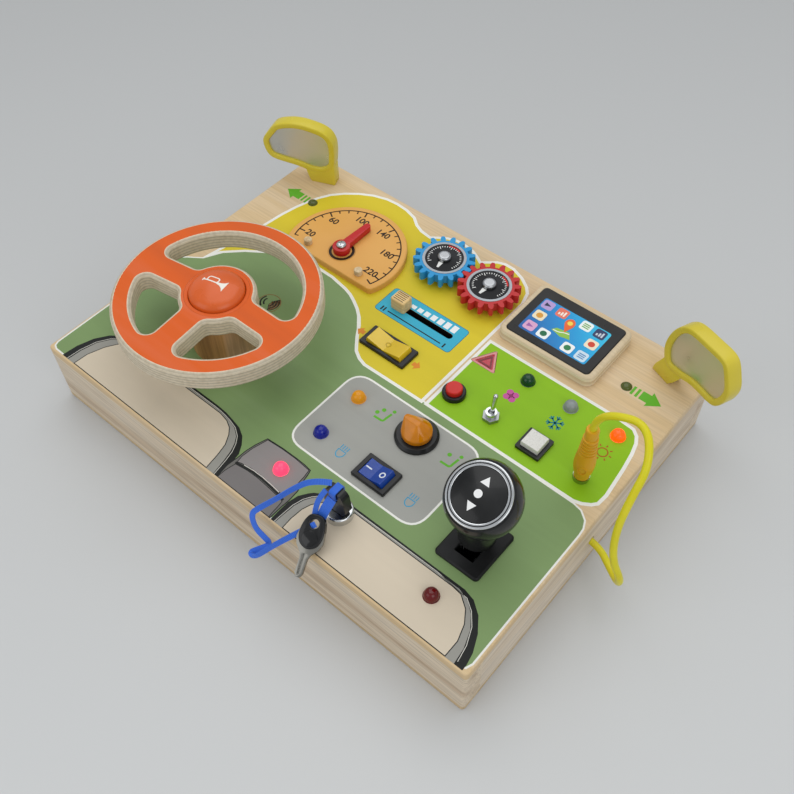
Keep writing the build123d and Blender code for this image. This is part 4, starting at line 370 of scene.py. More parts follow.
def flowing(*points, steps=5, closed=False):
    """Smooth run through these points; a closed one comes back to the first."""
    points = [Vector(p) for p in points]
    if closed:
        ends = [points[-1], *points, *points[:2]]
    else:
        ends = [2 * points[0] - points[1], *points, 2 * points[-1] - points[-2]]
    line = []
    for a, b, c, d in zip(ends, ends[1:], ends[2:], ends[3:]):
        for i in range(steps):
            t = i / steps
            line.append(
                0.5 * (2 * b + (c - a) * t + (2 * a - 5 * b + 4 * c - d) * t**2
                       + (3 * b - a - 3 * c + d) * t**3)
            )
    return line if closed else line + [points[-1]]


def rounded(corners, radius, steps=7):
    """Outline with its corners rounded."""
    corners = [Vector(c) for c in corners]
    line = []
    for before, here, after in zip(corners[-1:] + corners[:-1], corners, corners[1:] + corners[:1]):
        back, ahead = before - here, after - here
        reach = min(radius, back.length * 0.49, ahead.length * 0.49)
        start = here + back.normalized() * reach
        end = here + ahead.normalized() * reach
        for i in range(steps + 1):
            t = i / steps
            line.append(start * (1 - t) ** 2 + here * 2 * t * (1 - t) + end * t**2)
    return line


def oblong(x, y, length, width, radius):
    """Rounded rectangle about a centre."""
    half_x, half_y = length / 2, width / 2
    corners = [(x - half_x, y - half_y), (x + half_x, y - half_y),
               (x + half_x, y + half_y), (x - half_x, y + half_y)]
    return rounded(corners, radius)


def plate(outline, bottom, top, finish, border=None):
    """Closed plate: a filled circle laid on the outline, inset for a border and extruded."""
    deselect()
    bpy.ops.mesh.primitive_circle_add(vertices=len(outline), radius=MM, fill_type="NGON")
    piece = bpy.context.object
    for vertex, (x, y) in zip(piece.data.vertices, outline):
        vertex.co = Vector((x, y, top)) * MM
    piece.data.materials.append(finish)
    edit(piece)
    if border:
        width, border_finish = border
        bpy.ops.mesh.inset(thickness=width * MM)
        bpy.ops.object.mode_set(mode="OBJECT")
        piece.data.materials.append(border_finish)
        for face in piece.data.polygons:
            face.material_index = int(len(face.vertices) <= 4)
        edit(piece)
    bpy.ops.mesh.extrude_region_move(TRANSFORM_OT_translate={"value": (0, 0, (bottom - top) * MM)})
    leave()
    return piece


def stroke(points, width, bottom, top, finish, closed=False):
    """Closed plate that follows a line: a grid laid along both its sides, extruded."""
    points = [Vector(p) for p in points]
    count = len(points)
    sides = [], []
    for i, here in enumerate(points):
        before = points[i - 1] if closed else points[max(i - 1, 0)]
        after = points[(i + 1) % count] if closed else points[min(i + 1, count - 1)]
        along = (after - before).normalized()
        across = Vector((-along.y, along.x)) * width / 2
        sides[0].append(here + across)
        sides[1].append(here - across)
    if closed:
        sides = [side + side[:1] for side in sides]
    deselect()
    bpy.ops.mesh.primitive_grid_add(x_subdivisions=len(sides[0]) - 1, y_subdivisions=1, size=MM)
    piece = bpy.context.object
    for vertex, (x, y) in zip(piece.data.vertices, [*sides[0], *sides[1]]):
        vertex.co = Vector((x, y, top)) * MM
    piece.data.materials.append(finish)
    edit(piece)
    bpy.ops.mesh.remove_doubles(threshold=MERGE)
    bpy.ops.mesh.select_all(action="SELECT")
    bpy.ops.mesh.extrude_region_move(TRANSFORM_OT_translate={"value": (0, 0, (bottom - top) * MM)})
    leave()
    return piece


def hoop(centre, radius, count, width, bottom, top, finish):
    """Closed ring about a centre."""
    return stroke(circle(*centre, radius, count), width, bottom, top, finish, closed=True)


def turned(profile, finish, steps=64):
    """Piece turned about Z from a closed profile of (radius, height) points."""
    deselect()
    bpy.ops.mesh.primitive_circle_add(vertices=len(profile), radius=MM, fill_type="NOTHING")
    piece = bpy.context.object
    for vertex, (radius, height) in zip(piece.data.vertices, profile):
        vertex.co = Vector((radius, 0, height)) * MM
    piece.data.materials.append(finish)
    edit(piece)
    bpy.ops.mesh.spin(steps=steps, angle=TURN, center=(0, 0, 0), axis=(0, 0, 1))
    leave()
    return piece


def block(size, finish, bevel=0.3, segments=3):
    """Block with rounded edges."""
    deselect()
    bpy.ops.mesh.primitive_cube_add(size=MM)
    piece = bpy.context.object
    piece.scale = size
    piece.data.materials.append(finish)
    settle(piece)
    soften(piece, bevel, segments)
    return piece


def soften(piece, bevel, segments=3, angle=40):
    """Round the piece's sharp edges."""
    pick(piece)
    modifier = piece.modifiers.new("Round", "BEVEL")
    modifier.width = bevel * MM
    modifier.segments = segments
    modifier.angle_limit = math.radians(angle)
    bpy.ops.object.modifier_apply(modifier="Round")


def cut(piece, *cutters):
    """Cut these shapes out of the piece."""
    for cutter in cutters:
        pick(piece)
        modifier = piece.modifiers.new("Cut", "BOOLEAN")
        modifier.operation = "DIFFERENCE"
        modifier.object = cutter
        modifier.solver = "EXACT"
        bpy.ops.object.modifier_apply(modifier="Cut")


def discard(*pieces):
    """Take away shapes that were only tools."""
    for piece in pieces:
        bpy.data.objects.remove(piece)


def settle(piece, place=None):
    """Apply the piece's place to its mesh."""
    if place is not None:
        piece.matrix_world = place @ piece.matrix_world
    pick(piece)
    bpy.ops.object.transform_apply(location=True, rotation=True, scale=True)
    return piece


def joined(pieces):
    """These pieces as one object."""
    pick(*pieces)
    if len(pieces) > 1:
        bpy.ops.object.join()
    return bpy.context.object


def seat(piece, name, body="board", smooth=35, stands_for=()):
    """Name a finished piece, shade it and let it ride on its body."""
    piece.name = name
    piece.data.name = name
    pick(piece)
    bpy.ops.object.shade_smooth_by_angle(angle=math.radians(smooth))
    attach(piece, body)
    if stands_for:
        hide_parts(*stands_for)
    return piece


def lettering(text, x, y, size, bottom, top, finish):
    """Flat numerals as a closed mesh."""
    deselect()
    bpy.ops.object.text_add()
    words = bpy.context.object
    words.data.body = text
    words.data.size = size * MM
    words.data.align_x = "CENTER"
    words.data.align_y = "CENTER"
    words.data.extrude = (top - bottom) / 2 * MM
    words.data.offset = NUMERAL_WEIGHT
    words.data.resolution_u = 4
    bpy.ops.object.convert(target="MESH")
    piece = bpy.context.object
    piece.data.materials.clear()
    piece.data.materials.append(finish)
    settle(piece, at(x, y, (top + bottom) / 2))
    edit(piece)
    leave()
    return piece


def dress(finish, *nodes):
    """Give CAD nodes their finish."""
    for node in nodes:
        for material_slot in NODES[node].material_slots:
            material_slot.material = finish


def level(step):
    """Bottom and top of a print on this layer, in millimetres."""
    return FACE, FACE + INK_STEP * (step + 1)


# ---------------------------------------------------------------- settings a user may change
def colour_property(name, description, code):
    return FloatVectorProperty(
        name=name, description=description, subtype="COLOR", size=3, min=0, max=1,
        default=srgb(code),
    )


def length_property(name, description, millimetres):
    return FloatProperty(
        name=name, description=description, subtype="DISTANCE", unit="LENGTH", min=0,
        default=millimetres * MM,
    )


class BusyBoardPrints(bpy.types.PropertyGroup):
    """Inks and line widths of the printed panel."""

    sage: colour_property("Sage", "Ground colour of the dashboard", "7F9963")
    yellow: colour_property("Yellow", "Instrument cluster", "DAC52C")
    leaf: colour_property("Leaf green", "Control panel under the screen", "8CBD12")
    grey: colour_property("Grey", "Panel round the rotary knob", "A3A39C")
    cream: colour_property("Cream", "Seats", "D6C8B1")
    cyan: colour_property("Cyan", "Plate under the slider", "3CB0CC")
    console: colour_property("Console", "Console between the seats", "8E8987")
    arrow: colour_property("Arrow green", "Turn arrows and air flow marks", "62B02A")
    dark: colour_property("Line", "Outlines of seats and console", "1A1C1A")
    border: length_property("Border", "White border round each panel", 1.8)
    thin_border: length_property("Thin border", "White border round the grey panel", 1.1)


class BusyBoardPieces(bpy.types.PropertyGroup):
    """Colours of the loose and moving pieces."""

    pine: colour_property("Bare wood", "Box, screen frame and edges of the wheel", "D8BC90")
    orange: colour_property("Orange", "Face of the steering wheel and its horn", "DC5E18")
    tan: colour_property("Tan", "Speed dial", "E4A850")
    pointer: colour_property("Pointer red", "Pointer and red button", "C20E10")
    gear_blue: colour_property("Gear blue", "Left gear", "0092CE")
    gear_red: colour_property("Gear red", "Right gear", "BE0A0C")
    rocker: colour_property("Rocker yellow", "Rocker of the yellow switch", "E2BE14")
    amber: colour_property("Amber", "Rotary knob", "DC8600")
    tape: colour_property("Tape blue", "Tape that ties the keys", "1E6CE6")
    cord: colour_property("Cord yellow", "Cord of the plug", "E2D81E")
    plug: colour_property("Plug amber", "Moulded plug", "E0A80C")
    mirror: colour_property("Mirror yellow", "Frames of the wing mirrors", "D8C534")


class BusyBoardStage(bpy.types.PropertyGroup):
    """Floor and lights."""

    floor: colour_property("Floor", "Colour of the floor", "CFD0CF")
    key_power: FloatProperty(
        name="Key light", description="Power of the large light overhead", unit="POWER",
        min=0, default=10.4,
    )
    fill: FloatProperty(
        name="Fill", description="Strength of the light from all around", min=0, default=0.56,
    )


def prints():
    return bpy.context.scene.busy_board_prints


def colours():
    return bpy.context.scene.busy_board_pieces


# ---------------------------------------------------------------- stage, cord and tape
FLOOR_SIZE = 8.0                             # metres
# Painted shade: the floor's colour darkens away along FLOOR_TURN, for the light falling off.
FLOOR_TURN = -42.0                           # degrees; the floor darkens away along this
SKY = (0.93, 0.96, 1.0, 1.0)
LIGHTS = (                                   # place and size in metres, share of the key's power
    ("key_light", (-0.35, 0.45, 1.5), 1.6, 1.0),
    ("side_light", (1.3, -0.5, 1.1), 1.0, 0.5),
    ("front_light", (-0.6, -1.5, 1.0), 1.2, 0.42),
)
CAMERA_PLACE = (219.44, -230.98, 425.45)
CAMERA_AHEAD = (-0.40323, 0.45465, -0.79416)
CAMERA_RIGHT = (0.76165, 0.64779, -0.01587)
CAMERA_LENS, CAMERA_SENSOR, CAMERA_NEAR = 42.72, 36.0, 0.01


class OBJECT_OT_busy_board_stage(bpy.types.Operator):
    """Floor, soft lights and camera"""

    bl_idname = "object.busy_board_stage"
    bl_label = "Stage"

    def execute(self, context):
        settings = context.scene.busy_board_stage
        paper = Finish("studio_paper", tuple(settings.floor), 0.7, Specular_IOR_Level=0.3)
        tone = paper.noise(1.5, 2.0)
        shade = paper.ramp(tone, (0.3, darker(settings.floor, 0.02)), (0.7, tuple(settings.floor)))
        # Painted shade: the floor's colour darkens away from the front, for the light falling off.
        turned_floor = paper.mapped((1, 1, 1), (0, 0, math.radians(FLOOR_TURN)))
        away = paper.add("ShaderNodeSeparateXYZ", Vector=turned_floor)
        painted_falloff = paper.ramp(
            paper.math("ADD", away.outputs["Y"], 0.25), (0.0, (1, 1, 1)), (0.9, (0.66, 0.66, 0.66))
        )
        paper.link(paper.mix(1.0, shade, painted_falloff, "MULTIPLY"), "Base Color")
        deselect()
        bpy.ops.mesh.primitive_plane_add(size=FLOOR_SIZE, location=(0, 0, 0))
        floor = context.object
        floor.name = "studio_floor"
        floor.data.materials.append(paper.material)

        world = bpy.data.worlds.new("soft_room")
        world.use_nodes = True
        sky = world.node_tree.nodes["Background"]
        sky.inputs["Color"].default_value = SKY
        sky.inputs["Strength"].default_value = settings.fill
        context.scene.world = world
        for name, place, size, share in LIGHTS:
            deselect()
            bpy.ops.object.light_add(type="AREA", location=place)
            light = context.object
            light.name = name
            light.data.size = size
            light.data.energy = settings.key_power * share
            light.rotation_euler = (-Vector(place)).to_track_quat("-Z", "Y").to_euler()

        view = bpy.data.cameras.new("camera")
        view.lens = CAMERA_LENS
        view.sensor_width = CAMERA_SENSOR
        view.clip_start = CAMERA_NEAR
        camera = bpy.data.objects.new("camera", view)
        context.scene.collection.objects.link(camera)
        ahead = Vector(CAMERA_AHEAD).normalized()
        right = Vector(CAMERA_RIGHT)
        right = (right - ahead * right.dot(ahead)).normalized()
        camera.matrix_world = placed(CAMERA_PLACE, right, right.cross(ahead), -ahead)
        context.scene.camera = camera
        context.scene.view_settings.view_transform = "Standard"
        return {"FINISHED"}


def nurbs_route(name, points):
    """Curve object of one NURBS spline with these control points, in millimetres."""
    curve = bpy.data.curves.new(name, "CURVE")
    curve.dimensions = "3D"
    curve.resolution_u = 16
    spline = curve.splines.new("NURBS")
    spline.points.add(len(points) - 1)
    for control, point in zip(spline.points, points):
        control.co = (*(Vector(point) * MM), 1.0)
    spline.order_u = 3
    spline.use_endpoint_u = True
    route = bpy.data.objects.new(name, curve)
    bpy.context.scene.collection.objects.link(route)
    bpy.context.view_layer.update()
    return route


def centreline(route):
    """Points that a route's NURBS spline runs through, in metres."""
    mesh = bpy.data.meshes.new_from_object(route)
    line = [vertex.co.copy() for vertex in mesh.vertices]
    bpy.data.meshes.remove(mesh)
    return line


CORD_RADIUS = 1.8
CORD_ROUTE = [
    (134.0, -5.7, 21.0),
    (146.5, -5.7, 21.0),
    (157.4, -11.1, 17.3),
    (164.9, -17.6, 22.0),
    (166.1, -21.1, 33.1),
    (159.9, -22.9, 48.1),
    (156.7, -20.2, 66.5),
    (156.5, -14.0, 83.7),
    (156.2, -3.0, 97.2),
    (146.4, 8.7, 104.9),
    (130.6, 7.5, 99.2),
    (124.0, 7.8, 88.6),
    (124.0, 7.8, 82.0),
]
JACK = (124.0, 7.8)
PLUG_FOOT = 45.1
PLUG_HEIGHT = 36.9
PLUG_RIBS, RIB_START, RIB_PITCH = 6, 18.5, 2.1
RIB_RADIUS, RIB_TAPER, RIB_DEPTH = 4.35, 0.13, 0.6
PLUG_BODY = ((3.9, 0.0), (3.95, 1.6), (4.7, 5.0), (5.2, 9.5), (5.0, 14.0), (4.5, 18.0))
PIN_PROFILE = [
    (0, -14.0), (1.15, -14.0), (1.75, -12.8), (1.75, -9.0), (1.5, -8.8), (1.5, -8.2),
    (1.75, -8.0), (1.75, 0.4), (0, 0.4),
]


def plug_profile():
    """Outline of the moulded plug above its collar, with fine ribs under the neck."""
    body = flowing(*PLUG_BODY, steps=4)
    ribs = []
    for rib in range(PLUG_RIBS):
        base = RIB_START + rib * RIB_PITCH
        wide = RIB_RADIUS - rib * RIB_TAPER
        deep = wide - RIB_DEPTH
        ribs += [(wide, base), (wide, base + 1.3), (deep, base + 1.45), (deep, base + 2.0)]
    top = [(3.2, 31.6), (3.2, PLUG_HEIGHT - 0.8), (2.9, PLUG_HEIGHT), (0.0, PLUG_HEIGHT)]
    return [(0.0, 0.0)] + [tuple(p) for p in body] + ribs + top


class OBJECT_OT_busy_board_cord(bpy.types.Operator):
    """Cord from the right side of the box, up and over into its plug"""

    bl_idname = "object.busy_board_cord"
    bl_label = "Plug and cord"

    def execute(self, context):
        vinyl = plastic("cord_vinyl", tuple(colours().cord), 0.32, 0.05, 500, 0.0, 0.12)
        moulded = plastic("plug_vinyl", tuple(colours().plug), 0.36, 0.08, 700, 0.0, 0.15)
        nickel = metal("jack_nickel", srgb("B9BBAE"), 0.22)

        route = nurbs_route("cord_route", CORD_ROUTE)
        line = centreline(route)
        pick(route)
        route.data.bevel_depth = CORD_RADIUS * MM
        route.data.bevel_resolution = 5
        route.data.use_fill_caps = True
        bpy.ops.object.convert(target="MESH")
        cord = context.object
        cord.data.materials.append(vinyl)
        edit(cord)
        leave()

        shell = turned(plug_profile(), moulded, 56)
        settle(shell, at(*JACK, PLUG_FOOT))
        badge = stroke(
            [(1.9 * p.x, 2.7 * p.y) for p in circle(0, 0, 1, 28)], 0.5, -0.4, 0.25, moulded,
            closed=True,
        )
        settle(badge, at(*JACK, PLUG_FOOT + 9.6) @ Matrix.Rotation(math.radians(20), 4, "Z")
               @ Matrix.Translation((0, -5.15 * MM, 0)) @ Matrix.Rotation(math.radians(90), 4, "X"))
        soften(badge, 0.12, 2)
        plug = seat(joined([shell, badge]), "plug_shell", "plug_body")
        pin = turned(PIN_PROFILE, nickel, 32)
        settle(pin, at(*JACK, PLUG_FOOT))
        seat(pin, "plug_pin", "plug_body", stands_for=("plug",))
        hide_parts("plug")

        cord.name = "plug_cord"
        cord.data.name = "plug_cord"
        pick(cord)
        bpy.ops.object.shade_smooth_by_angle(angle=math.radians(60))
        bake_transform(cord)
        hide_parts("cord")

        dress(vinyl, "cord_knot")
        dress(nickel, "jack")
        return {"FINISHED"}


TAPE_WIDTH = 2.8
TAPE_ORIGIN = Vector((46.0, -81.0, 66.3))
TAPE_ACROSS = Vector((0.938, 0.0, -0.346)).normalized()
TAPE_FACING = Vector((0.254, -0.677, 0.691))
TAPE_FACING = (TAPE_FACING - TAPE_ACROSS * TAPE_FACING.dot(TAPE_ACROSS)).normalized()
TAPE_ROUTE = [                               # across, along and out of the tape's plane
    (0.0, 0.0, 0.0),
    (-7.2, -5.4, 0.3),
    (-11.2, -14.6, 0.6),
    (-14.0, -24.6, 0.4),
    (-17.0, -33.4, 0.2),
    (-18.4, -38.8, 0.0),
    (-12.6, -42.8, -0.6),
    (-6.4, -43.2, -1.2),
    (-1.8, -43.6, -1.8),
    (-4.8, -49.6, -0.8),
    (-6.6, -53.0, 0.4),
    (-3.2, -52.8, 1.6),
    (-0.6, -42.0, 2.4),
    (3.2, -30.3, 2.0),
    (7.2, -19.4, 1.2),
]
TAPE_TWIST = 38                              # degrees each way
STRANDS = (                                  # tape threaded through the two key heads
    ("key_tape_wide", 5.0,
     [(49.0, -84.9, 60.5), (48.6, -87.0, 58.0), (48.0, -89.8, 54.5), (47.6, -92.2, 50.5)]),
    ("key_tape_narrow", 2.6,
     [(45.4, -84.6, 63.8), (43.9, -87.2, 60.0), (43.6, -90.2, 55.4), (44.6, -92.8, 51.2)]),
)
STRAND_FACING = Vector((0.1, -0.8, 0.6)).normalized()


def tape_finish():
    """Woven tape: a fine weave along the piece's own UV map."""
    made = Finish("woven_tape", tuple(colours().tape), 0.55, Sheen_Weight=0.3, Sheen_Roughness=0.4)
    uv = made.tree.nodes["Texture Coordinate"].outputs["UV"]
    threads = []
    for scale in ((260.0, 1.0, 1.0), (1.0, 16.0, 1.0)):
        mapping = made.add("ShaderNodeMapping", Vector=uv, Scale=scale)
        wave = made.add("ShaderNodeTexWave", Vector=mapping.outputs[0], Scale=0.31, Distortion=0.4)
        wave.bands_direction = "X" if scale[0] > 1 else "Y"
        threads.append(wave.outputs["Fac"])
    weave = made.math("MULTIPLY", *threads)
    colour = tuple(colours().tape)
    tone = made.ramp(weave, (0.0, darker(colour, 0.22)), (0.7, lighter(colour, 0.05)))
    made.link(tone, "Base Color")
    made.bump(weave, 0.35, 0.12)
    return made.material


def tape(line, facings, width, finish, thickness=0.55):
    """Flat tape along a line: a grid laid across it and given its thickness."""
    deselect()
    count = len(line)
    bpy.ops.mesh.primitive_grid_add(
        x_subdivisions=count - 1, y_subdivisions=2, size=MM, calc_uvs=True
    )
    piece = bpy.context.object
    for i, here in enumerate(line):
        along = (line[min(i + 1, count - 1)] - line[max(i - 1, 0)]).normalized()
        facing = facings[min(i, len(facings) - 1)]
        across = along.cross(facing).normalized() * width / 2 * MM
        for row, share in enumerate((-1, 0, 1)):
            piece.data.vertices[row * count + i].co = here + across * share
    piece.data.materials.append(finish)
    pick(piece)
    modifier = piece.modifiers.new("Thickness", "SOLIDIFY")
    modifier.thickness = thickness * MM
    modifier.offset = 0
    bpy.ops.object.modifier_apply(modifier="Thickness")
    edit(piece)
    leave()
    return piece


class OBJECT_OT_busy_board_tape(bpy.types.Operator):
    """Blue tape from the key in the lock to the spare key"""

    bl_idname = "object.busy_board_tape"
    bl_label = "Tape"

    def execute(self, context):
        woven = tape_finish()
        across, facing = TAPE_ACROSS, TAPE_FACING
        rise = facing.cross(across)
        points = [TAPE_ORIGIN + across * x + rise * y + facing * z for x, y, z in TAPE_ROUTE]
        route = nurbs_route("tape_route", points)
        line = centreline(route)
        discard(route)
        turns = []
        for i in range(len(line)):
            twist = math.radians(TAPE_TWIST * math.sin(3 * math.pi * i / len(line)))
            turns.append(Matrix.Rotation(twist, 3, rise) @ facing)
        ribbon = tape(line, turns, TAPE_WIDTH, woven)
        seat(ribbon, "key_tape", "board", 60, ("ribbon",))
        for name, width, points in STRANDS:
            strand_route = nurbs_route("strand_route", points)
            strand = tape(centreline(strand_route), [STRAND_FACING], width, woven)
            discard(strand_route)
            seat(strand, name, "board", 60)
        dress(woven, "key_loop")
        return {"FINISHED"}


# ---------------------------------------------------------------- board and prints
class OBJECT_OT_busy_board_box(bpy.types.Operator):
    """Bare wood of the box, its hidden parts and its small hardware"""

    bl_idname = "object.busy_board_box"
    bl_label = "Box"

    def execute(self, context):
        pine = tuple(colours().pine)
        shade = (0.30, 0.17, 0.07)
        deep = tuple(p * 0.72 + s * 0.28 for p, s in zip(pine, shade))
        soft = tuple(p * 0.87 + s * 0.13 for p, s in zip(pine, shade))
        # The slider slot in the panel is given painted shade, near black.
        dress(wood("panel_birch", pine, soft, speck=0.12, painted_slot_shade=(*SLIDER_SLOT, FACE)), "top_panel")
        dress(wood("rail_pine_long", srgb("DCCAB0"), srgb("BCA284"), streak=1.4), "long_rails")
        dress(
            wood("rail_pine_side", srgb("DDCCB4"), srgb("BFA689"), (0, 1, 0), streak=1.4),
            "side_rails",
        )
        dress(wood("base_birch", darker(pine, 0.08), deep, roughness=0.7), "bottom_panel")
        dress(wood("pedestal_beech", srgb("B88A54"), srgb("946A3A"), (0, 0, 1)), "wheel_pedestal")
        dress(wood("peg_birch", srgb("E2C79A"), srgb("B98F5E"), (0, 0, 1)), "dial_pegs")
        steel = metal("zinc_steel", srgb("B4B6B8"), 0.3)
        dress(steel, "screws", "gear_bolts", "horn_spring", "key_blade")
        dress(metal("nut_steel", srgb("A9ABAD"), 0.34), "nuts", "wheel_sleeve")
        black = plastic("box_plastic", srgb("1D1E20"), 0.5, 0.3)
        dress(black, "battery_box", "battery_door", "slider_retainer")
        dress(plastic("cell_jacket", srgb("2E7A46"), 0.3, 0.05, coat=0.3), "batteries")
        dress(plastic("solder_mask", srgb("14532E"), 0.35, 0.2, 2200, 0.2), "circuit_board")
        dress(plastic("speaker_cone", srgb("232326"), 0.6, 0.4, 1500), "speaker")
        return {"FINISHED"}


SPEAKER = (-73.2, -6.3)
SPEAKER_RADII = (2.07, 3.80, 5.52)
ECHO_RADII = (3.0, 4.9)
SLIDER_SLOT = (0.5, 37.9, 42.2, 3.9)
HAZARD = (46.0, 36.9)
SHIFTER = (107.2, -53.7)

SAGE = [
    (5.2, 1.1), (2.4, 2.4), (1.3, 5.2), (1.3, 84.0), (1.8, 88.0), (3.8, 91.5), (6.9, 94.2),
    (10.4, 96.6), (14.5, 99.6), (20.0, 109.8), (30.0, 119.5), (41.5, 127.6), (55.0, 133.6),
    (70.0, 136.4), (84.0, 136.0), (100.0, 132.8), (112.0, 126.0), (125.0, 111.0), (135.0, 101.2),
    (272.0, 99.1), (277.0, 98.1), (281.6, 94.5), (283.5, 90.2), (283.9, 86.0), (283.9, 6.1),
    (282.6, 2.6), (278.9, 1.1),
]
YELLOW = [
    (17.0, 115.0), (20.0, 130.0), (21.5, 142.0), (23.0, 155.0), (25.0, 165.0), (27.0, 172.0),
    (30.0, 180.0), (34.0, 187.0), (40.0, 193.5), (47.0, 199.0), (55.0, 203.5), (64.0, 206.3),
    (72.0, 207.0), (80.0, 206.3), (88.0, 204.0), (93.6, 199.8), (98.7, 197.7), (105.4, 196.8),
    (109.0, 199.5), (114.0, 202.8), (120.0, 204.6), (126.0, 204.6), (132.4, 203.5), (137.1, 201.4),
    (140.9, 199.2), (144.3, 202.0), (148.1, 205.2), (152.9, 206.9), (159.1, 206.8), (167.1, 203.9),
    (173.5, 199.7), (177.1, 195.6), (179.6, 187.0), (179.6, 98.5), (140.0, 98.0), (135.0, 99.5),
    (130.0, 102.5), (127.0, 106.0), (123.0, 111.0), (119.0, 117.0), (115.0, 121.5), (110.0, 125.5),
    (105.0, 128.5), (100.0, 131.0), (95.0, 132.5), (88.0, 133.7), (83.5, 134.5), (70.0, 134.8),
    (55.0, 132.0), (41.5, 126.0), (30.0, 118.0), (20.0, 108.5), (14.0, 98.5),
]
LEAF = [
    (180.6, 98.7), (271.0, 98.7), (275.3, 100.0), (279.3, 102.5), (281.7, 105.3), (282.3, 112.0),
    (281.5, 120.0), (280.5, 130.0), (279.0, 140.0), (277.3, 146.7), (275.0, 151.0), (271.3, 154.0),
    (259.7, 155.0), (180.6, 155.0),
]
LEFT_SEAT = (
    [
        (11.2, 1.1), (12.2, 10.0), (15.2, 19.0), (20.0, 26.0), (25.5, 30.0), (34.0, 31.0),
        (100.0, 31.0), (107.0, 30.6), (113.1, 29.5), (118.9, 28.3), (123.9, 25.6), (127.5, 21.7),
        (130.4, 16.9), (131.4, 10.0), (131.4, 1.1),
    ],
    [
        (16.0, 1.1), (16.6, 9.0), (18.8, 18.0), (23.0, 24.6), (28.5, 28.6), (34.0, 29.3),
        (100.0, 29.3), (106.0, 29.0), (111.9, 28.1), (116.9, 26.7), (121.5, 23.6), (124.1, 19.9),
        (125.9, 15.6), (127.3, 10.0), (129.0, 1.1),
    ],
    [
        (20.5, 1.1), (21.1, 9.7), (24.4, 18.9), (28.5, 25.3), (34.0, 28.6), (105.0, 28.6),
        (110.9, 27.5), (115.2, 25.3), (118.3, 21.9), (121.3, 16.6), (122.8, 10.1), (124.1, 1.1),
    ],
)
RIGHT_SEAT = (
    [
        (168.3, 1.1), (168.1, 6.2), (168.1, 12.8), (169.4, 18.4), (172.1, 22.4), (174.1, 24.6),
        (179.4, 27.6), (186.0, 30.3), (193.0, 31.0), (260.0, 31.0), (266.0, 29.5), (272.0, 25.0),
        (277.0, 18.0), (280.5, 10.0), (281.7, 4.0), (281.7, 1.1),
    ],
    [
        (171.0, 1.1), (171.3, 6.2), (171.8, 13.3), (173.3, 18.5), (175.5, 22.2), (180.0, 26.8),
        (186.0, 29.2), (192.0, 29.6), (258.0, 29.6), (264.0, 27.6), (269.0, 23.5), (273.3, 17.5),
        (276.3, 9.0), (277.2, 1.1),
    ],
    [
        (175.6, 1.1), (175.2, 7.3), (175.7, 14.3), (177.2, 18.7), (179.2, 21.7), (183.0, 26.0),
        (188.0, 28.9), (255.0, 28.9), (260.0, 28.3), (266.0, 24.0), (270.0, 18.0), (272.5, 10.0),
        (272.5, 1.1),
    ],
)
CONSOLE = [
    (134.6, 32.8), (144.5, 33.5), (153.8, 33.6), (159.9, 33.4), (164.2, 32.8), (165.0, 30.2),
    (165.8, 26.3), (167.7, 20.1), (168.1, 13.7), (167.8, 9.0), (167.8, 1.1), (131.4, 1.1),
    (130.4, 8.8), (131.2, 16.1), (131.4, 20.6), (132.5, 26.4),
]
CONSOLE_TOP = [
    (135.2, 32.3), (144.5, 33.0), (153.8, 33.1), (163.6, 32.4), (164.4, 28.0), (164.9, 22.0),
    (163.9, 17.0), (162.1, 13.9), (157.2, 14.1), (151.6, 14.7), (146.2, 14.9), (140.4, 14.7),
    (135.2, 13.8), (132.9, 13.0), (132.3, 17.1), (132.9, 23.4),
]
CONSOLE_FOOT = [
    (133.2, 12.1), (135.8, 12.5), (140.7, 13.2), (146.5, 13.4), (152.0, 13.1), (157.4, 12.7),
    (161.6, 12.3), (164.9, 11.9), (165.9, 11.4), (166.4, 7.9), (166.6, 4.4), (167.1, 1.1),
    (131.7, 1.1), (131.8, 5.8), (132.5, 9.4),
]
CONSOLE_FOLD = [
    (132.6, 12.5), (137.0, 13.3), (143.0, 14.0), (149.0, 14.1), (155.0, 13.7), (161.0, 13.1),
    (165.6, 12.2),
]


def mark(points, width, step, finish, closed=False):
    """Printed line through points given from the board's front left corner."""
    return stroke([corner(x, y) for x, y in points], width, *level(step), finish, closed)


def patch(points, step, finish, border=None):
    """Printed area through points given from the board's front left corner."""
    return plate([corner(x, y) for x, y in points], *level(step), finish, border)


def printed(piece, name):
    """Seat a piece of print on the panel."""
    return seat(piece, name, "board")


def arcs(radii, count, start, sweep, width, bottom, top, finish):
    """Arcs about the middle of the speaker."""
    return [
        stroke(circle(*SPEAKER, radius, count, start, sweep), width, bottom, top, finish)
        for radius in radii
    ]


def slot_shape(bottom, top, finish):
    """Slot the slider runs in."""
    x, y, length, width = SLIDER_SLOT
    reach = (length - width) / 2
    line = []
    for side, start in ((1, -90), (-1, 90)):
        line += circle(x + side * reach, y, width / 2, 13, start, 180)
    return plate(line, bottom, top, finish)


def hazard_shape(bottom, top, finish, reach=9.6, radius=2.1):
    """Rounded triangle of the hazard button."""
    corners = circle(*HAZARD, reach, 3, 90)
    return plate(rounded(corners, radius), bottom, top, finish)


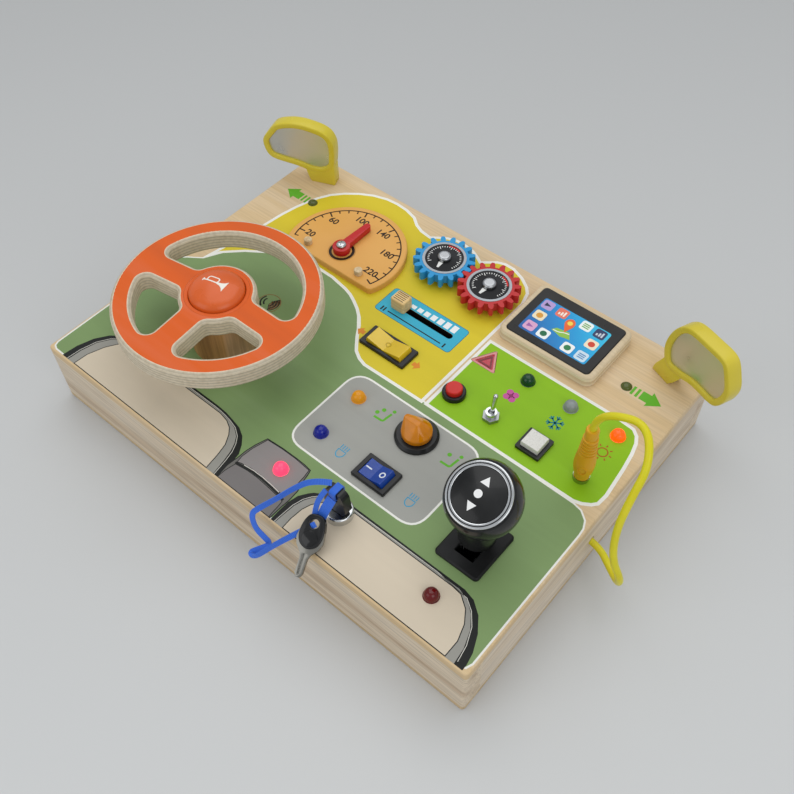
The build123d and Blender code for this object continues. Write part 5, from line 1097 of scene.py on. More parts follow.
class OBJECT_OT_busy_board_panels(bpy.types.Operator):
    """Large printed areas of the dashboard"""

    bl_idname = "object.busy_board_panels"
    bl_label = "Printed panels"

    def execute(self, context):
        inks = prints()
        white = ink("white_ink", srgb("EFEEE6"))
        border = inks.border / MM
        sage = patch(SAGE, 0, ink("sage_ink", tuple(inks.sage)), (0.9, white))
        yellow = patch(YELLOW, 1, ink("yellow_ink", tuple(inks.yellow)), (border, white))
        leaf = patch(LEAF, 2, ink("leaf_ink", tuple(inks.leaf)), (border, white))
        cyan_ink = ink("cyan_ink", tuple(inks.cyan))
        teal = ink("teal_ink", srgb("236E82"))
        plate_outline = oblong(*corner(143.0, 142.65), 52.6, 19.7, 2.5)
        cyan = plate(plate_outline, *level(2), cyan_ink, (0.35, teal))
        sound = ink("sound_ink", srgb("1A1B1A"))
        bands = arcs(SPEAKER_RADII, 19, -55, 110, 1.7, *level(1), sound)
        echoes = arcs(ECHO_RADII, 19, 150, 100, 0.9, *level(1), sound)
        slots = arcs(SPEAKER_RADII, 15, -50, 100, 1.1, FACE - 1, FACE + 1, white)
        run = slot_shape(FACE - 1, FACE + 1, white)
        triangle = hazard_shape(FACE - 1, FACE + 1, white)
        well = plate(oblong(*SHIFTER, 16.0, 22.0, 1.0), FACE - 1, FACE + 1, white)
        cut(sage, *slots, run, triangle, well)
        discard(well)
        cut(yellow, run)
        for band, slot in zip(bands, slots):
            cut(band, slot)
        cut(cyan, run)
        cut(leaf, triangle)
        discard(*slots, run, triangle)
        grey_ink = ink("grey_ink", tuple(inks.grey))
        panel = oblong(*corner(182.2, 66.35), 84.4, 55.3, 11)
        grey = plate(panel, *level(1), grey_ink, (inks.thin_border / MM, white))
        for piece, name in (
            (sage, "sage_print"), (yellow, "yellow_print"), (leaf, "leaf_print"),
            (cyan, "slider_plate_print"), (grey, "rotary_panel_print"),
            (joined(bands + echoes), "sound_print"),
        ):
            printed(piece, name)
        return {"FINISHED"}


class OBJECT_OT_busy_board_seats(bpy.types.Operator):
    """Printed seats and the console between them"""

    bl_idname = "object.busy_board_seats"
    bl_label = "Printed seats"

    def execute(self, context):
        inks = prints()
        dark = ink("line_ink", tuple(inks.dark))
        grey = ink("seat_grey_ink", srgb("9A9890"))
        cream = ink("cream_ink", tuple(inks.cream))
        stitch = ink("stitch_ink", srgb("DAD7CC"))
        for name, (outer, middle, inner) in (("left", LEFT_SEAT), ("right", RIGHT_SEAT)):
            printed(patch(outer, 1, dark), f"{name}_seat_edge")
            printed(patch(middle, 2, grey), f"{name}_seat_piping")
            printed(patch(inner, 3, cream, (0.45, dark)), f"{name}_seat_cushion")
            seam = [
                tuple(a * 0.2 + b * 0.8 for a, b in zip(edge, piping))
                for edge, piping in zip(outer, middle)
            ]
            printed(mark(seam, 0.3, 2, stitch), f"{name}_seat_stitch")
        flank = ink("console_flank_ink", srgb("6E6C67"))
        printed(patch(CONSOLE, 2, flank, (0.5, dark)), "console_flank")
        upper = ink("console_ink", tuple(inks.console))
        lower = ink("console_foot_ink", darker(tuple(inks.console), 0.28))
        printed(patch(CONSOLE_TOP, 3, upper, (0.4, dark)), "console_top")
        printed(patch(CONSOLE_FOOT, 3, lower, (0.4, dark)), "console_foot")
        printed(mark(CONSOLE_FOLD, 1.2, 4, dark), "console_fold")
        shine = shifted(0, 0.9, CONSOLE_FOLD[1:-1])
        printed(mark(shine, 0.35, 4, stitch), "console_shine")
        return {"FINISHED"}


def turn_arrow(x, y, facing, finish):
    """Arrow of a turn signal with two stripes behind it; facing -1 points to the left."""
    head = [(0.0, -5.2), (7.0, 0.0), (0.0, 5.2), (0.0, 2.9), (-4.8, 2.9), (-4.8, -2.9), (0.0, -2.9)]
    pieces = [patch(shifted(x, y, head, facing), 1, finish)]
    for start in (-7.3, -10.0):
        end = start + 1.4
        bar = [(start, -2.9), (end, -2.9), (end, 2.9), (start, 2.9)]
        pieces.append(patch(shifted(x, y, bar, facing), 1, finish))
    return pieces


def airflow(x, y, feet, finish):
    """Seated figure of the air flow mark, with its air as dots."""
    seat_line = [(0.0, 0.0), (2.8, 0.1), (5.4, 0.5), (5.9, 3.2), (6.4, 6.5)]
    pieces = [mark(shifted(x, y, flowing(*seat_line, steps=4)), 1.25, 2, finish)]
    pieces += [patch(circle(*spot, 1.15, 16), 2, finish) for spot in shifted(x, y, feet)]
    pieces.append(patch(circle(x + 6.6, y + 8.4, 1.0, 16), 2, finish))
    return pieces


def headlamp(x, y, finish):
    """Headlamp mark: a bowl and four beams."""
    bowl = flowing((0.0, 4.3), (0.3, 1.6), (2.35, 0.0), (4.4, 1.6), (4.7, 4.3), steps=4)
    pieces = [mark(shifted(x, y, bowl + [Vector((0.0, 4.3))]), 0.5, 2, finish)]
    for beam in range(4):
        start = x + 0.3 + beam * 1.35
        pieces.append(mark([(start, y + 5.0), (start, y + 7.6)], 0.5, 2, finish))
    return pieces


def slider_arrow(x, y, facing, finish):
    """Short arrow beside the yellow switch."""
    shape = [(-2.4, 0.0), (0.6, 3.0), (0.6, 1.3), (2.6, 1.3), (2.6, -1.3), (0.6, -1.3), (0.6, -3.0)]
    return patch(shifted(x, y, shape, -facing), 2, finish)


FLOWER = (211.7, 131.3)
FLAKE = (238.7, 131.5)
SUN = (266.5, 131.7)


class OBJECT_OT_busy_board_marks(bpy.types.Operator):
    """Small printed marks: arrows, lamps, air, weather and levels"""

    bl_idname = "object.busy_board_marks"
    bl_label = "Printed marks"

    def execute(self, context):
        inks = prints()
        arrow = ink("arrow_ink", tuple(inks.arrow))
        black = ink("black_ink", srgb("1B1C1C"))
        white = ink("mark_white_ink", srgb("EFF1F0"))
        beam = ink("beam_ink", srgb("2E9BC4"))
        orange = ink("marker_orange_ink", srgb("DE8A2C"))
        groups = {
            "turn_arrow_left": turn_arrow(17.3, 174.0, -1, arrow),
            "turn_arrow_right": turn_arrow(267.0, 174.2, 1, arrow),
            "air_face_mark": airflow(166.0, 77.0, ((-0.2, 2.9), (1.7, 6.0)), arrow),
            "air_foot_mark": airflow(208.9, 77.0, ((1.2, 5.9),), arrow),
            "low_beam_mark": headlamp(165.9, 46.7, beam),
            "high_beam_mark": headlamp(209.9, 47.0, beam),
            "rocker_arrows": [
                slider_arrow(123.0, 115.5, -1, orange), slider_arrow(161.8, 115.8, 1, orange),
            ],
        }
        flower = ink("blossom_ink", srgb("C9589C"))
        petals = []
        for a in (math.radians(45 + 90 * petal) for petal in range(4)):
            heart = (FLOWER[0] + 2.3 * math.cos(a), FLOWER[1] + 2.3 * math.sin(a))
            petals.append(patch(circle(*heart, 1.9, 20), 3, flower))
        groups["flower_mark"] = petals + [
            patch(circle(*FLOWER, 1.1, 20), 4, ink("blossom_heart_ink", srgb("8E2F63")))
        ]
        teal = ink("frost_ink", srgb("177C84"))
        flake = []
        for arm in range(3):
            a = math.radians(30 + 60 * arm)
            x, y = 4.6 * math.cos(a), 4.6 * math.sin(a)
            ends = [(FLAKE[0] - x, FLAKE[1] - y), (FLAKE[0] + x, FLAKE[1] + y)]
            flake.append(mark(ends, 0.8, 3, teal))
            for side in (1, -1):
                base = Vector(FLAKE) + side * Vector((x, y)) * 0.55
                for lean in (0.7, -0.7):
                    tip = base + side * 2.0 * Vector((math.cos(a + lean), math.sin(a + lean)))
                    flake.append(mark([base, tip], 0.65, 3, teal))
        groups["frost_mark"] = flake
        rust = ink("sun_ink", srgb("A65A12"))
        sun = [mark(circle(*SUN, 2.6, 28), 0.7, 3, rust, closed=True)]
        for ray in range(8):
            out = toward(45 * ray)
            sun.append(mark([Vector(SUN) + out * 3.7, Vector(SUN) + out * 5.0], 0.7, 3, rust))
        groups["sun_mark"] = sun
        levels = [mark([(124.6, 135.7), (161.7, 135.7)], 0.7, 3, black)]
        levels += [mark([(x, 134.2), (x, 137.4)], 0.9, 3, black) for x in (120.6, 122.4, 164.0)]
        groups["level_line"] = levels
        groups["level_steps"] = []
        for i in range(7):
            x, top = 161.5 - 4.6 * i, 148.4 + 2.5 * (6 - i) / 6
            bar = [(x - 1.65, 145.9), (x + 1.65, 145.9), (x + 1.65, top), (x - 1.65, top)]
            groups["level_steps"].append(patch(bar, 3, white))
        brown = ink("speaker_ring_ink", srgb("8B6A3A"))
        middle = (SPEAKER[0] + 0.6, SPEAKER[1] - 0.6)
        groups["speaker_ring"] = [hoop(middle, 6.6, 44, 0.5, *level(1), brown)]
        for name, pieces in groups.items():
            printed(joined(pieces), name)
        return {"FINISHED"}


# ---------------------------------------------------------------- steering wheel and speed dial
WHEEL = (-71.4, -39.3)
WHEEL_TOP = 78.0
HORN_TOP = 84.0
HORN_CURVE = 30.0                            # radius of the horn's dome
HORN_EDGE, HORN_BEND, HORN_FOOT = 14.6, 12.4, 75.0
HORN_MARK_TURN = 10.7                        # degrees


def painted_wood(name, colour, top, bare, ply):
    """Painted face over bare plywood edges; the paint ends at this height, in millimetres."""
    made = Finish(name, colour, 0.42, Specular_IOR_Level=0.22)
    grain = made.noise(48, 5.0, (0.08, 1, 1), 0.5)
    paint = made.ramp(
        grain, (0.3, darker(colour, 0.12)), (0.55, colour), (0.8, lighter(colour, 0.05))
    )
    layer = made.math("FRACT", made.math("MULTIPLY", made.height(), 1 / (ply * MM)))
    edge = made.ramp(
        layer, (0.0, bare), (0.55, darker(bare, 0.06)), (0.62, darker(bare, 0.3)),
        (0.88, darker(bare, 0.22)), (0.97, bare),
    )
    pores = made.ramp(made.noise(500, 3.0), (0.35, (0.86, 0.84, 0.8)), (0.6, (1, 1, 1)))
    edge = made.mix(0.9, edge, pores, "MULTIPLY")
    on_top = made.math("GREATER_THAN", made.height(), (top - 0.02) * MM)
    made.link(made.mix(on_top, edge, paint), "Base Color")
    made.rough(grain, 0.38, 0.52)
    made.bump(made.noise(300, 4.0, (0.15, 1, 1)), 0.12, 0.08)
    return made.material


def drape(piece, centre, curve):
    """Let a flat piece follow a dome about this centre."""
    middle = Vector(centre)
    for vertex in piece.data.vertices:
        reach = (Vector((vertex.co.x, vertex.co.y)) / MM - middle).length
        vertex.co.z -= (curve - math.sqrt(curve**2 - reach**2)) * MM


def horn_profile():
    """Outline of the horn's cap: a steep rounded wall under a dome."""
    dome = []
    for step in range(9):
        radius = HORN_BEND * step / 8
        dome.append((radius, HORN_TOP - HORN_CURVE + math.sqrt(HORN_CURVE**2 - radius**2)))
    wall = flowing(dome[-1], (13.6, 80.3), (14.35, 79.2), (HORN_EDGE, 77.6), steps=4)
    return dome[:-1] + [tuple(p) for p in wall] + [(HORN_EDGE, HORN_FOOT), (0.0, HORN_FOOT)]


class OBJECT_OT_busy_board_wheel(bpy.types.Operator):
    """Steering wheel and its horn"""

    bl_idname = "object.busy_board_wheel"
    bl_label = "Steering wheel"

    def execute(self, context):
        orange = tuple(colours().orange)
        dress(painted_wood("wheel_paint", orange, WHEEL_TOP, srgb("DCCFB6"), 1.95), "wheel")
        surround = turned(
            [(14.85, WHEEL_TOP - 1.6), (16.95, WHEEL_TOP - 1.6), (16.95, WHEEL_TOP - 0.02),
             (15.2, WHEEL_TOP - 0.02), (14.85, WHEEL_TOP - 0.3)],
            ink("wheel_print", orange, 0.42), 72,
        )
        settle(surround, at(*WHEEL))
        seat(surround, "horn_surround", "steering_wheel")
        dome = Finish(
            "horn_gloss", orange, 0.26, Coat_Weight=0.12, Coat_Roughness=0.15,
            Specular_IOR_Level=0.3,
        )
        tone = dome.noise(60, 3.0)
        shade = dome.ramp(tone, (0.3, darker(orange, 0.1)), (0.7, lighter(orange, 0.02)))
        dome.link(shade, "Base Color")
        dome.rough(tone, 0.22, 0.32)
        dome.bump(dome.noise(160, 2.0), 0.05, 0.1)
        cap = turned(horn_profile(), dome.material, 72)
        settle(cap, at(*WHEEL))
        seat(cap, "horn_cap", "horn", 60, ("horn_button",))
        white = ink("horn_white", srgb("F4F0E4"), 0.35)
        over = (HORN_TOP - 0.5, HORN_TOP + 0.14)
        heading = Matrix.Rotation(math.radians(HORN_MARK_TURN), 2)
        middle = corner(69.6, 67.4)

        def on_dome(*points):
            return [middle + heading @ Vector(point) for point in points]

        loop = rounded([(-4.6, -1.2), (1.9, -1.2), (1.9, 1.9), (-4.6, 1.9)], 1.3, 5)
        bell = [
            (1.8, -0.7), (4.0, -0.3), (5.6, 0.7), (6.7, 2.3), (6.7, -4.7), (5.6, -3.1),
            (4.0, -2.1), (1.8, -1.7),
        ]
        tube = flowing((-6.6, -1.2), (-2.2, -1.2), (2.0, -1.2), steps=4)
        strokes = [
            stroke(on_dome(*loop), 0.62, *over, white, closed=True),
            plate(on_dome(*bell), HORN_TOP - 0.5, HORN_TOP + 0.26, white),
            stroke(on_dome(*tube), 0.7, *over, white),
            stroke(on_dome((-6.7, -2.2), (-6.7, -0.2)), 0.7, *over, white),
        ]
        trumpet = joined(strokes)
        drape(trumpet, WHEEL, HORN_CURVE)
        seat(trumpet, "horn_mark", "horn")
        return {"FINISHED"}


DIAL = (-66.3, 49.4)
DIAL_TOP = 46.0
PIVOT = (-66.3, 46.6)
TICKS = 23
TICK_START = 198.0                           # degrees, at the low end of the scale
TICK_PITCH = 10.0
LONG_TICK = 1                                # the first long tick, and every fourth from there
SCALE_RADIUS = 32.3
NUMBER_RADIUS, NUMBER_SIZE = 24.6, 6.1
NUMBERS = ("20", "60", "100", "140", "180", "220")
SCREW_TOP = 52.3
POINTER_REST = 89.0                          # degrees from the X axis


class OBJECT_OT_busy_board_dial(bpy.types.Operator):
    """Speed dial with its ticks, numbers, pointer and screw"""

    bl_idname = "object.busy_board_dial"
    bl_label = "Speed dial"

    def execute(self, context):
        tan = tuple(colours().tan)
        dress(lacquer("dial_tan", tan, 0.42), "dial_plate")
        black = ink("dial_black", srgb("2A1C10"))
        low, high = DIAL_TOP, DIAL_TOP + 0.06
        ticks = []
        for tick in range(TICKS):
            long = tick % 4 == LONG_TICK or tick == TICKS - 1
            out = toward(TICK_START - TICK_PITCH * tick)
            start = 32.0 - (3.6 if long else 2.1)
            line = [Vector(DIAL) + out * start, Vector(DIAL) + out * SCALE_RADIUS]
            ticks.append(stroke(line, 0.85 if long else 0.7, low, high, black))
        sweep = TICK_PITCH * (TICKS - 1)
        arc = circle(*DIAL, SCALE_RADIUS, 61, TICK_START, -sweep)
        ticks.append(stroke(arc, 0.75, low, high, black))
        for number, value in enumerate(NUMBERS):
            a = math.radians(TICK_START - TICK_PITCH * (4 * number + LONG_TICK))
            x = DIAL[0] + NUMBER_RADIUS * math.cos(a)
            y = DIAL[1] + NUMBER_RADIUS * math.sin(a)
            ticks.append(lettering(value, x, y, NUMBER_SIZE, low, high, black))
        seat(joined(ticks), "dial_scale", "board")
        shade = ink("dial_shade", darker(tan, 0.35))
        ring = [
            hoop(PIVOT, 6.7, 48, 1.7, low, high, black),
            hoop(PIVOT, 8.0, 48, 0.3, low, high, shade),
        ]
        seat(joined(ring), "dial_ring", "board")
        red = tuple(colours().pointer)
        gloss = plastic("pointer_red", red, 0.24, 0.04, 400, 0.15)
        arm = [(21.8, 1.95), *circle(21.9, 0.0, 1.95, 9, 78, -156), (21.8, -1.95), (4.6, -2.6)]
        shape = circle(0.0, 0.0, 5.1, 41, 31, 298) + arm[::-1] + [(4.6, 2.6)]
        hand = plate(shape, 46.4, 50.4, gloss)
        soften(hand, 0.55, 3)
        settle(hand, at(*PIVOT, 0.0, POINTER_REST))
        seat(hand, "pointer_hand", "needle", 35, ("pointer",))
        phillips = metal("screw_nickel", srgb("C9CACB"), 0.2)
        head = turned(
            [(0.0, 50.7), (2.9, 50.7), (2.9, 51.2), (2.55, 51.8), (1.7, 52.2), (0.6, SCREW_TOP),
             (0.0, SCREW_TOP)],
            phillips, 40,
        )
        slots = [block(size, phillips, 0.08, 1) for size in ((3.3, 0.62, 1.6), (0.62, 3.3, 1.6))]
        for cutter in slots:
            settle(cutter, at(0, 0, SCREW_TOP, 28))
        cut(head, *slots)
        discard(*slots)
        settle(head, at(*PIVOT))
        seat(head, "pointer_screw_head", "board", 35, ("pointer_screw",))
        return {"FINISHED"}


# ---------------------------------------------------------------- gears and slider
GEARS = (
    ("gear_blue", "blue_wheel", "blue_gloss", (-14.0, 75.6), 96.0, -80.0),
    ("gear_red", "red_wheel", "gear_red_gloss", (18.2, 74.7), 62.0, -93.0),
)
GEAR_TOP = 51.0
RIM_RADIUS, DISC_RADIUS, BAND_RADIUS, TICK_END = 11.75, 11.0, 10.0, 9.6
GEAR_TICKS, GEAR_TICK_START, GEAR_TICK_PITCH = 30, 232.0, 8.8
BAND_BEFORE, BAND_SWEEP = 28, 46             # degrees of the red band, before its start and along


class OBJECT_OT_busy_board_gears(bpy.types.Operator):
    """Two meshing gears with the dials printed on them"""

    bl_idname = "object.busy_board_gears"
    bl_label = "Gears"

    def execute(self, context):
        chosen = colours()
        for node, body, slot, centre, start, needle in GEARS:
            dress(lacquer(f"{node}_lacquer", tuple(getattr(chosen, node)), 0.3), node)
            silver = metal(f"{node}_silver", srgb("A4A8AC"), 0.38)
            black = ink(f"{node}_black", srgb("16171A"), 0.4)
            white = ink(f"{node}_white", srgb("E8E8E4"), 0.4)
            red = ink(f"{node}_band", srgb("C8201C"), 0.4)
            band = circle(*centre, BAND_RADIUS, 24, start - BAND_BEFORE, BAND_SWEEP)
            pieces = [
                hoop(centre, RIM_RADIUS, 64, 1.5, GEAR_TOP, GEAR_TOP + 0.25, silver),
                plate(circle(*centre, DISC_RADIUS, 64), GEAR_TOP, GEAR_TOP + 0.05, black),
                stroke(band, 0.9, GEAR_TOP, GEAR_TOP + 0.08, red),
            ]
            for tick in range(GEAR_TICKS):
                out = toward(GEAR_TICK_START - GEAR_TICK_PITCH * tick)
                reach = 8.6 if tick % 5 else 7.6
                line = [Vector(centre) + out * reach, Vector(centre) + out * TICK_END]
                pieces.append(stroke(line, 0.42, GEAR_TOP, GEAR_TOP + 0.09, white))
            needle_shape = [(4.0, -1.3), (8.3, -0.6), (8.3, 0.6), (4.0, 1.3)]
            hand = plate(needle_shape, GEAR_TOP, GEAR_TOP + 0.12, white)
            pieces.append(settle(hand, at(*centre, 0.0, needle)))
            seat(joined(pieces), f"{node}_dial", body)
        return {"FINISHED"}


KNOB = (-14.0, 37.9)
KNOB_TOP = 50.0
GRIP_REACH = 3.4
GRIP_LINES = (-2.6, -1.3, 0.0, 1.3, 2.6)


class OBJECT_OT_busy_board_slider(bpy.types.Operator):
    """Slider knob with grip lines"""

    bl_idname = "object.busy_board_slider"
    bl_label = "Slider"

    def execute(self, context):
        dress(wood("knob_beech", srgb("ECC888"), srgb("D2A666"), (1, 0, 0), 0.5), "slider_knob")
        black = ink("knob_black", srgb("17130F"))
        lines = []
        for offset in GRIP_LINES:
            ends = shifted(*KNOB, [(-GRIP_REACH, offset), (GRIP_REACH, offset)])
            lines.append(stroke(ends, 0.38, KNOB_TOP - 0.02, KNOB_TOP + 0.06, black))
        seat(joined(lines), "slider_grip", "slider")
        return {"FINISHED"}


# ---------------------------------------------------------------- switches, knobs and buttons
BLUE_ROCKER = (48.1, -54.0, 42.4)            # its pivot
BLUE_TILT = -9                               # degrees
ROCKER_WAIST = 1.9
ROCKER_SLOPE = 0.17
YELLOW_TOP = 44.3                            # middle of the yellow rocker
YELLOW_SLOPE = 0.22


def fold(piece, slope, rise=0.0):
    """Lay a flat piece on a rocker's shallow V."""
    for vertex in piece.data.vertices:
        vertex.co.z += rise * MM + abs(vertex.co.x) * slope


class OBJECT_OT_busy_board_switches(bpy.types.Operator):
    """Rocker switches, toggle and push buttons"""

    bl_idname = "object.busy_board_switches"
    bl_label = "Switches"

    def execute(self, context):
        chosen = colours()
        dress(plastic("bezel_black", srgb("0D0E0F"), 0.3, 0.15, 1100, 0.08),
              "yellow_rocker_housing", "blue_rocker_housing", "rotary_housing", "red_button_base",
              "white_button_base")
        yellow = tuple(chosen.rocker)
        dress(plastic("rocker_yellow", yellow, 0.16, 0.03, 500, 0.7), "yellow_rocker")
        faint = plastic("rocker_mark", darker(yellow, 0.35), 0.3, 0.03, 500)
        spots = [
            hoop((x, 10.8), 1.35, 24, 0.5, YELLOW_TOP - 0.4, YELLOW_TOP + 0.12, faint)
            for x in (-7.4, 0.0, 7.4)
        ]
        for spot in spots:
            fold(spot, YELLOW_SLOPE)
        seat(joined(spots), "rocker_dots", "yellow_switch")
        # Painted glow: the rocker holds no lamp, yet its blue is given a faint light of its own.
        blue = clear("rocker_blue", srgb("1747A8"), 0.1, 0.1, 0.3)
        dress(blue, "blue_rocker")
        signal = ink("rocker_white", srgb("E6ECF4"), 0.25)
        signs = joined([
            stroke([(-6.0, 0.0), (-2.6, 0.0)], 0.7, -0.3, 0.25, signal),
            hoop((4.3, 0.0), 1.4, 24, 0.6, -0.3, 0.42, signal),
        ])
        fold(signs, ROCKER_SLOPE, ROCKER_WAIST)
        settle(signs, at(*BLUE_ROCKER) @ Matrix.Rotation(math.radians(BLUE_TILT), 4, "Y"))
        seat(signs, "rocker_signs", "blue_switch")
        dress(plastic("cap_red", srgb("CC1C12"), 0.3, 0.1, 900, 0.1), "red_button_cap")
        speckled = Finish("cap_speckled", srgb("DCDAD2"), 0.5)
        dots = speckled.noise(1300, 2.0)
        shade = speckled.ramp(
            dots, (0.3, srgb("C9C7BF")), (0.4, srgb("D8D6CE")), (0.6, srgb("E2E0D9"))
        )
        speckled.link(shade, "Base Color")
        speckled.bump(dots, 0.15, 0.05)
        dress(speckled.material, "white_button_cap")
        dress(metal("toggle_chrome", srgb("D3D5D6"), 0.14), "toggle_body", "toggle_lever")
        return {"FINISHED"}


ROTARY = (48.3, -24.0, 44.6)                 # top of its bezel
KNOB_SKIRT = 7.9
KNOB_RIDGE = (-3.0, 0.3, 9.4, 3.0, 1.4)      # place, length, width and corner


class OBJECT_OT_busy_board_knob(bpy.types.Operator):
    """Amber rotary knob"""

    bl_idname = "object.busy_board_knob"
    bl_label = "Rotary knob"

    def execute(self, context):
        # Painted glow: the knob holds no lamp, yet its amber is given a faint light of its own.
        amber = clear("knob_amber", tuple(colours().amber), 0.04, 0.14, 0.15)
        skirt = plate(circle(0.0, 0.0, KNOB_SKIRT, 56), 0.3, 3.2, amber)
        ridge = plate(oblong(*KNOB_RIDGE), 8.0, 8.7, amber)
        grip = joined([skirt, ridge])
        edit(grip)
        bpy.ops.mesh.convex_hull()
        leave()
        soften(grip, 0.35, 2, 28)
        settle(grip, at(*ROTARY))
        seat(grip, "rotary_grip", "rotary", 30, ("rotary_knob",))
        return {"FINISHED"}


SHIFTER_FACE = (107.2, -53.68, 85.45)        # middle of the ball's sloping face
SHIFTER_TILT = 25
BADGE_TOP = 3.2                              # above the ball's sloping face
BADGE_CURVE = 47.3


class OBJECT_OT_busy_board_shifter(bpy.types.Operator):
    """Gear lever with its ring, badge and marks"""

    bl_idname = "object.busy_board_shifter"
    bl_label = "Shifter"

    def execute(self, context):
        gloss = plastic("shifter_gloss", srgb("050606"), 0.2, 0.02, 400, 0.12)
        dress(gloss, "shifter_ball", "shifter_badge")
        dress(plastic("shifter_boot", srgb("060707"), 0.5, 0.2, 900), "shifter_base")
        dress(metal("shifter_chrome", srgb("DADCDD"), 0.12), "shifter_ring", "shifter_lever")
        groove = plastic("ring_groove", srgb("0B0C0D"), 0.25)
        place = at(*SHIFTER_FACE) @ Matrix.Rotation(math.radians(SHIFTER_TILT), 4, "X")
        band = hoop((0, 0), 13.6, 64, 0.5, 1.55, 1.72, groove)
        settle(band, place)
        seat(band, "ring_groove", "shifter")
        pearl = ink("shifter_white", srgb("F2F2F0"), 0.25)
        over = (BADGE_TOP - 0.05, BADGE_TOP + 0.1)
        marks = joined([
            plate([(-2.3, 4.6), (2.3, 4.6), (0.0, 8.6)], *over, pearl),
            plate(circle(0.0, 0.0, 1.9, 28), *over, pearl),
            plate([(-2.3, -4.6), (0.0, -8.6), (2.3, -4.6)], *over, pearl),
        ])
        drape(marks, (0.0, 0.0), BADGE_CURVE)
        settle(marks, place)
        seat(marks, "badge_marks", "shifter")
        return {"FINISHED"}


# ---------------------------------------------------------------- lock and keys
SPARE_RUN = Vector((-8.0, 24.4, 14.5)).normalized()
SPARE_ACROSS = SPARE_RUN.cross(Vector((0, 0, 1))).normalized()
SPARE_SHOULDER = Vector((46.9, -92.0, 53.4)) - SPARE_RUN * 16.0
SPARE_HEAD = [
    (-3.2, 16.0), (-5.5, 11.5), (-6.0, 6.0), (-4.6, 1.6), (0.0, -0.8), (4.6, 1.6), (6.0, 6.0),
    (5.5, 11.5), (3.2, 16.0),
]
SPARE_INLAY = [(0.0, 0.8), (3.1, 3.0), (3.6, 6.0), (0.0, 8.4), (-3.6, 6.0), (-3.1, 3.0)]
SPARE_BLADE = [
    (-5.9, 9.0), (-6.6, 4.0), (-5.4, 0.6), (-2.7, -2.4), (-1.9, -4.6), (-1.9, -11.6),
    (-0.9, -13.4), (0.9, -13.4), (1.9, -11.6), (1.9, -4.6), (2.7, -2.4), (5.4, 0.6), (6.6, 4.0),
    (5.9, 9.0),
]


def spare_key(black, gloss, nickel):
    """Spare key in its own plane: black head with a raised inlay, nickel shoulders and blade."""
    head = plate(rounded(SPARE_HEAD, 3.0, 5), -2.1, 2.1, black)
    hole = plate(circle(0.0, 11.6, 2.2, 28), -4.0, 4.0, black)
    cut(head, hole)
    discard(hole)
    soften(head, 0.6, 3)
    inlay = plate(flowing(*SPARE_INLAY, closed=True), 2.0, 2.5, gloss)
    soften(inlay, 0.2, 2)
    blade = plate(SPARE_BLADE, -1.1, 1.1, nickel)
    groove = block((0.9, 9.5, 1.0), nickel, 0.1, 1)
    settle(groove, at(0.0, -7.2, 1.1))
    cut(blade, groove)
    discard(groove)
    soften(blade, 0.25, 2)
    return joined([head, inlay]), blade


class OBJECT_OT_busy_board_keys(bpy.types.Operator):
    """Lock, its key and the spare key"""

    bl_idname = "object.busy_board_keys"
    bl_label = "Lock and keys"

    def execute(self, context):
        dress(metal("lock_chrome", srgb("D2D4D5"), 0.15), "lock_body", "lock_core")
        black = plastic("key_black", srgb("0E0F10"), 0.28, 0.15, 700, 0.25)
        dress(black, "key_grip")
        gloss = plastic("key_inlay", srgb("050607"), 0.18, 0.02, 400, 0.4)
        head, blade = spare_key(black, gloss, metal("key_nickel", srgb("8F8D86"), 0.26))
        facing = SPARE_ACROSS.cross(SPARE_RUN)
        place = placed(SPARE_SHOULDER, SPARE_ACROSS, SPARE_RUN, facing)
        for piece, name, slot, node in (
            (head, "spare_key_head", "black_matte", "spare_key_grip"),
            (blade, "spare_key_nickel", "key_steel", "spare_key_blade"),
        ):
            settle(piece, place)
            seat(piece, name, "board", 35, (node,))
        return {"FINISHED"}


# ---------------------------------------------------------------- lamps, hazard button
LAMPS = (
    ("lamp_rose", (10.2, -81.2), "FF3D5E", 1.3),
    ("lamp_navy", (10.2, -52.8), "10209A", 0.03),
    ("lamp_amber", (10.2, -24.6), "E89A10", 0.15),
    ("lamp_ruby", (107.9, -85.9), "6E0C0E", 0.0),
    ("lamp_emerald", (70.4, 39.5), "0B4A24", 0.0),
    ("lamp_ice", (96.8, 39.5), "9CA3A2", 0.0),
    ("lamp_orange", (124.7, 39.5), "FF5A0A", 0.7),
)
TURN_LAMPS = (("turn_lamp_left", (-111.2, 69.1)), ("turn_lamp_right", (111.2, 69.1)))
LAMP_PROFILE = (                             # radius, and height over the printed face
    (0.0, -1.0), (4.0, -1.0), (4.0, 0.2), (3.7, 0.3), (3.7, 0.8), (3.55, 1.9), (3.05, 3.1),
    (2.2, 4.0), (1.1, 4.5), (0.0, 4.6),
)
TURN_LAMP_PROFILE = (
    (0.0, -1.0), (3.0, -1.0), (3.0, 0.2), (2.7, 0.3), (2.5, 0.9), (1.8, 1.5), (0.9, 1.75),
    (0.0, 1.8),
)
HAZARD_RINGS = (                             # heights, outer and inner reach with their corners
    ("hazard_border", 41.3, 41.95, (9.0, 1.9), (6.9, 1.4)),
    ("hazard_triangle", 41.4, 41.75, (5.2, 0.6), (3.4, 0.4)),
)


def domed(name, place, profile, tint, steps):
    """Domed lamp standing in the panel."""
    lamp = turned(shifted(0, FACE, profile), tint, steps)
    settle(lamp, at(*place))
    seat(lamp, name, "board", 30)
    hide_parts("lamps")


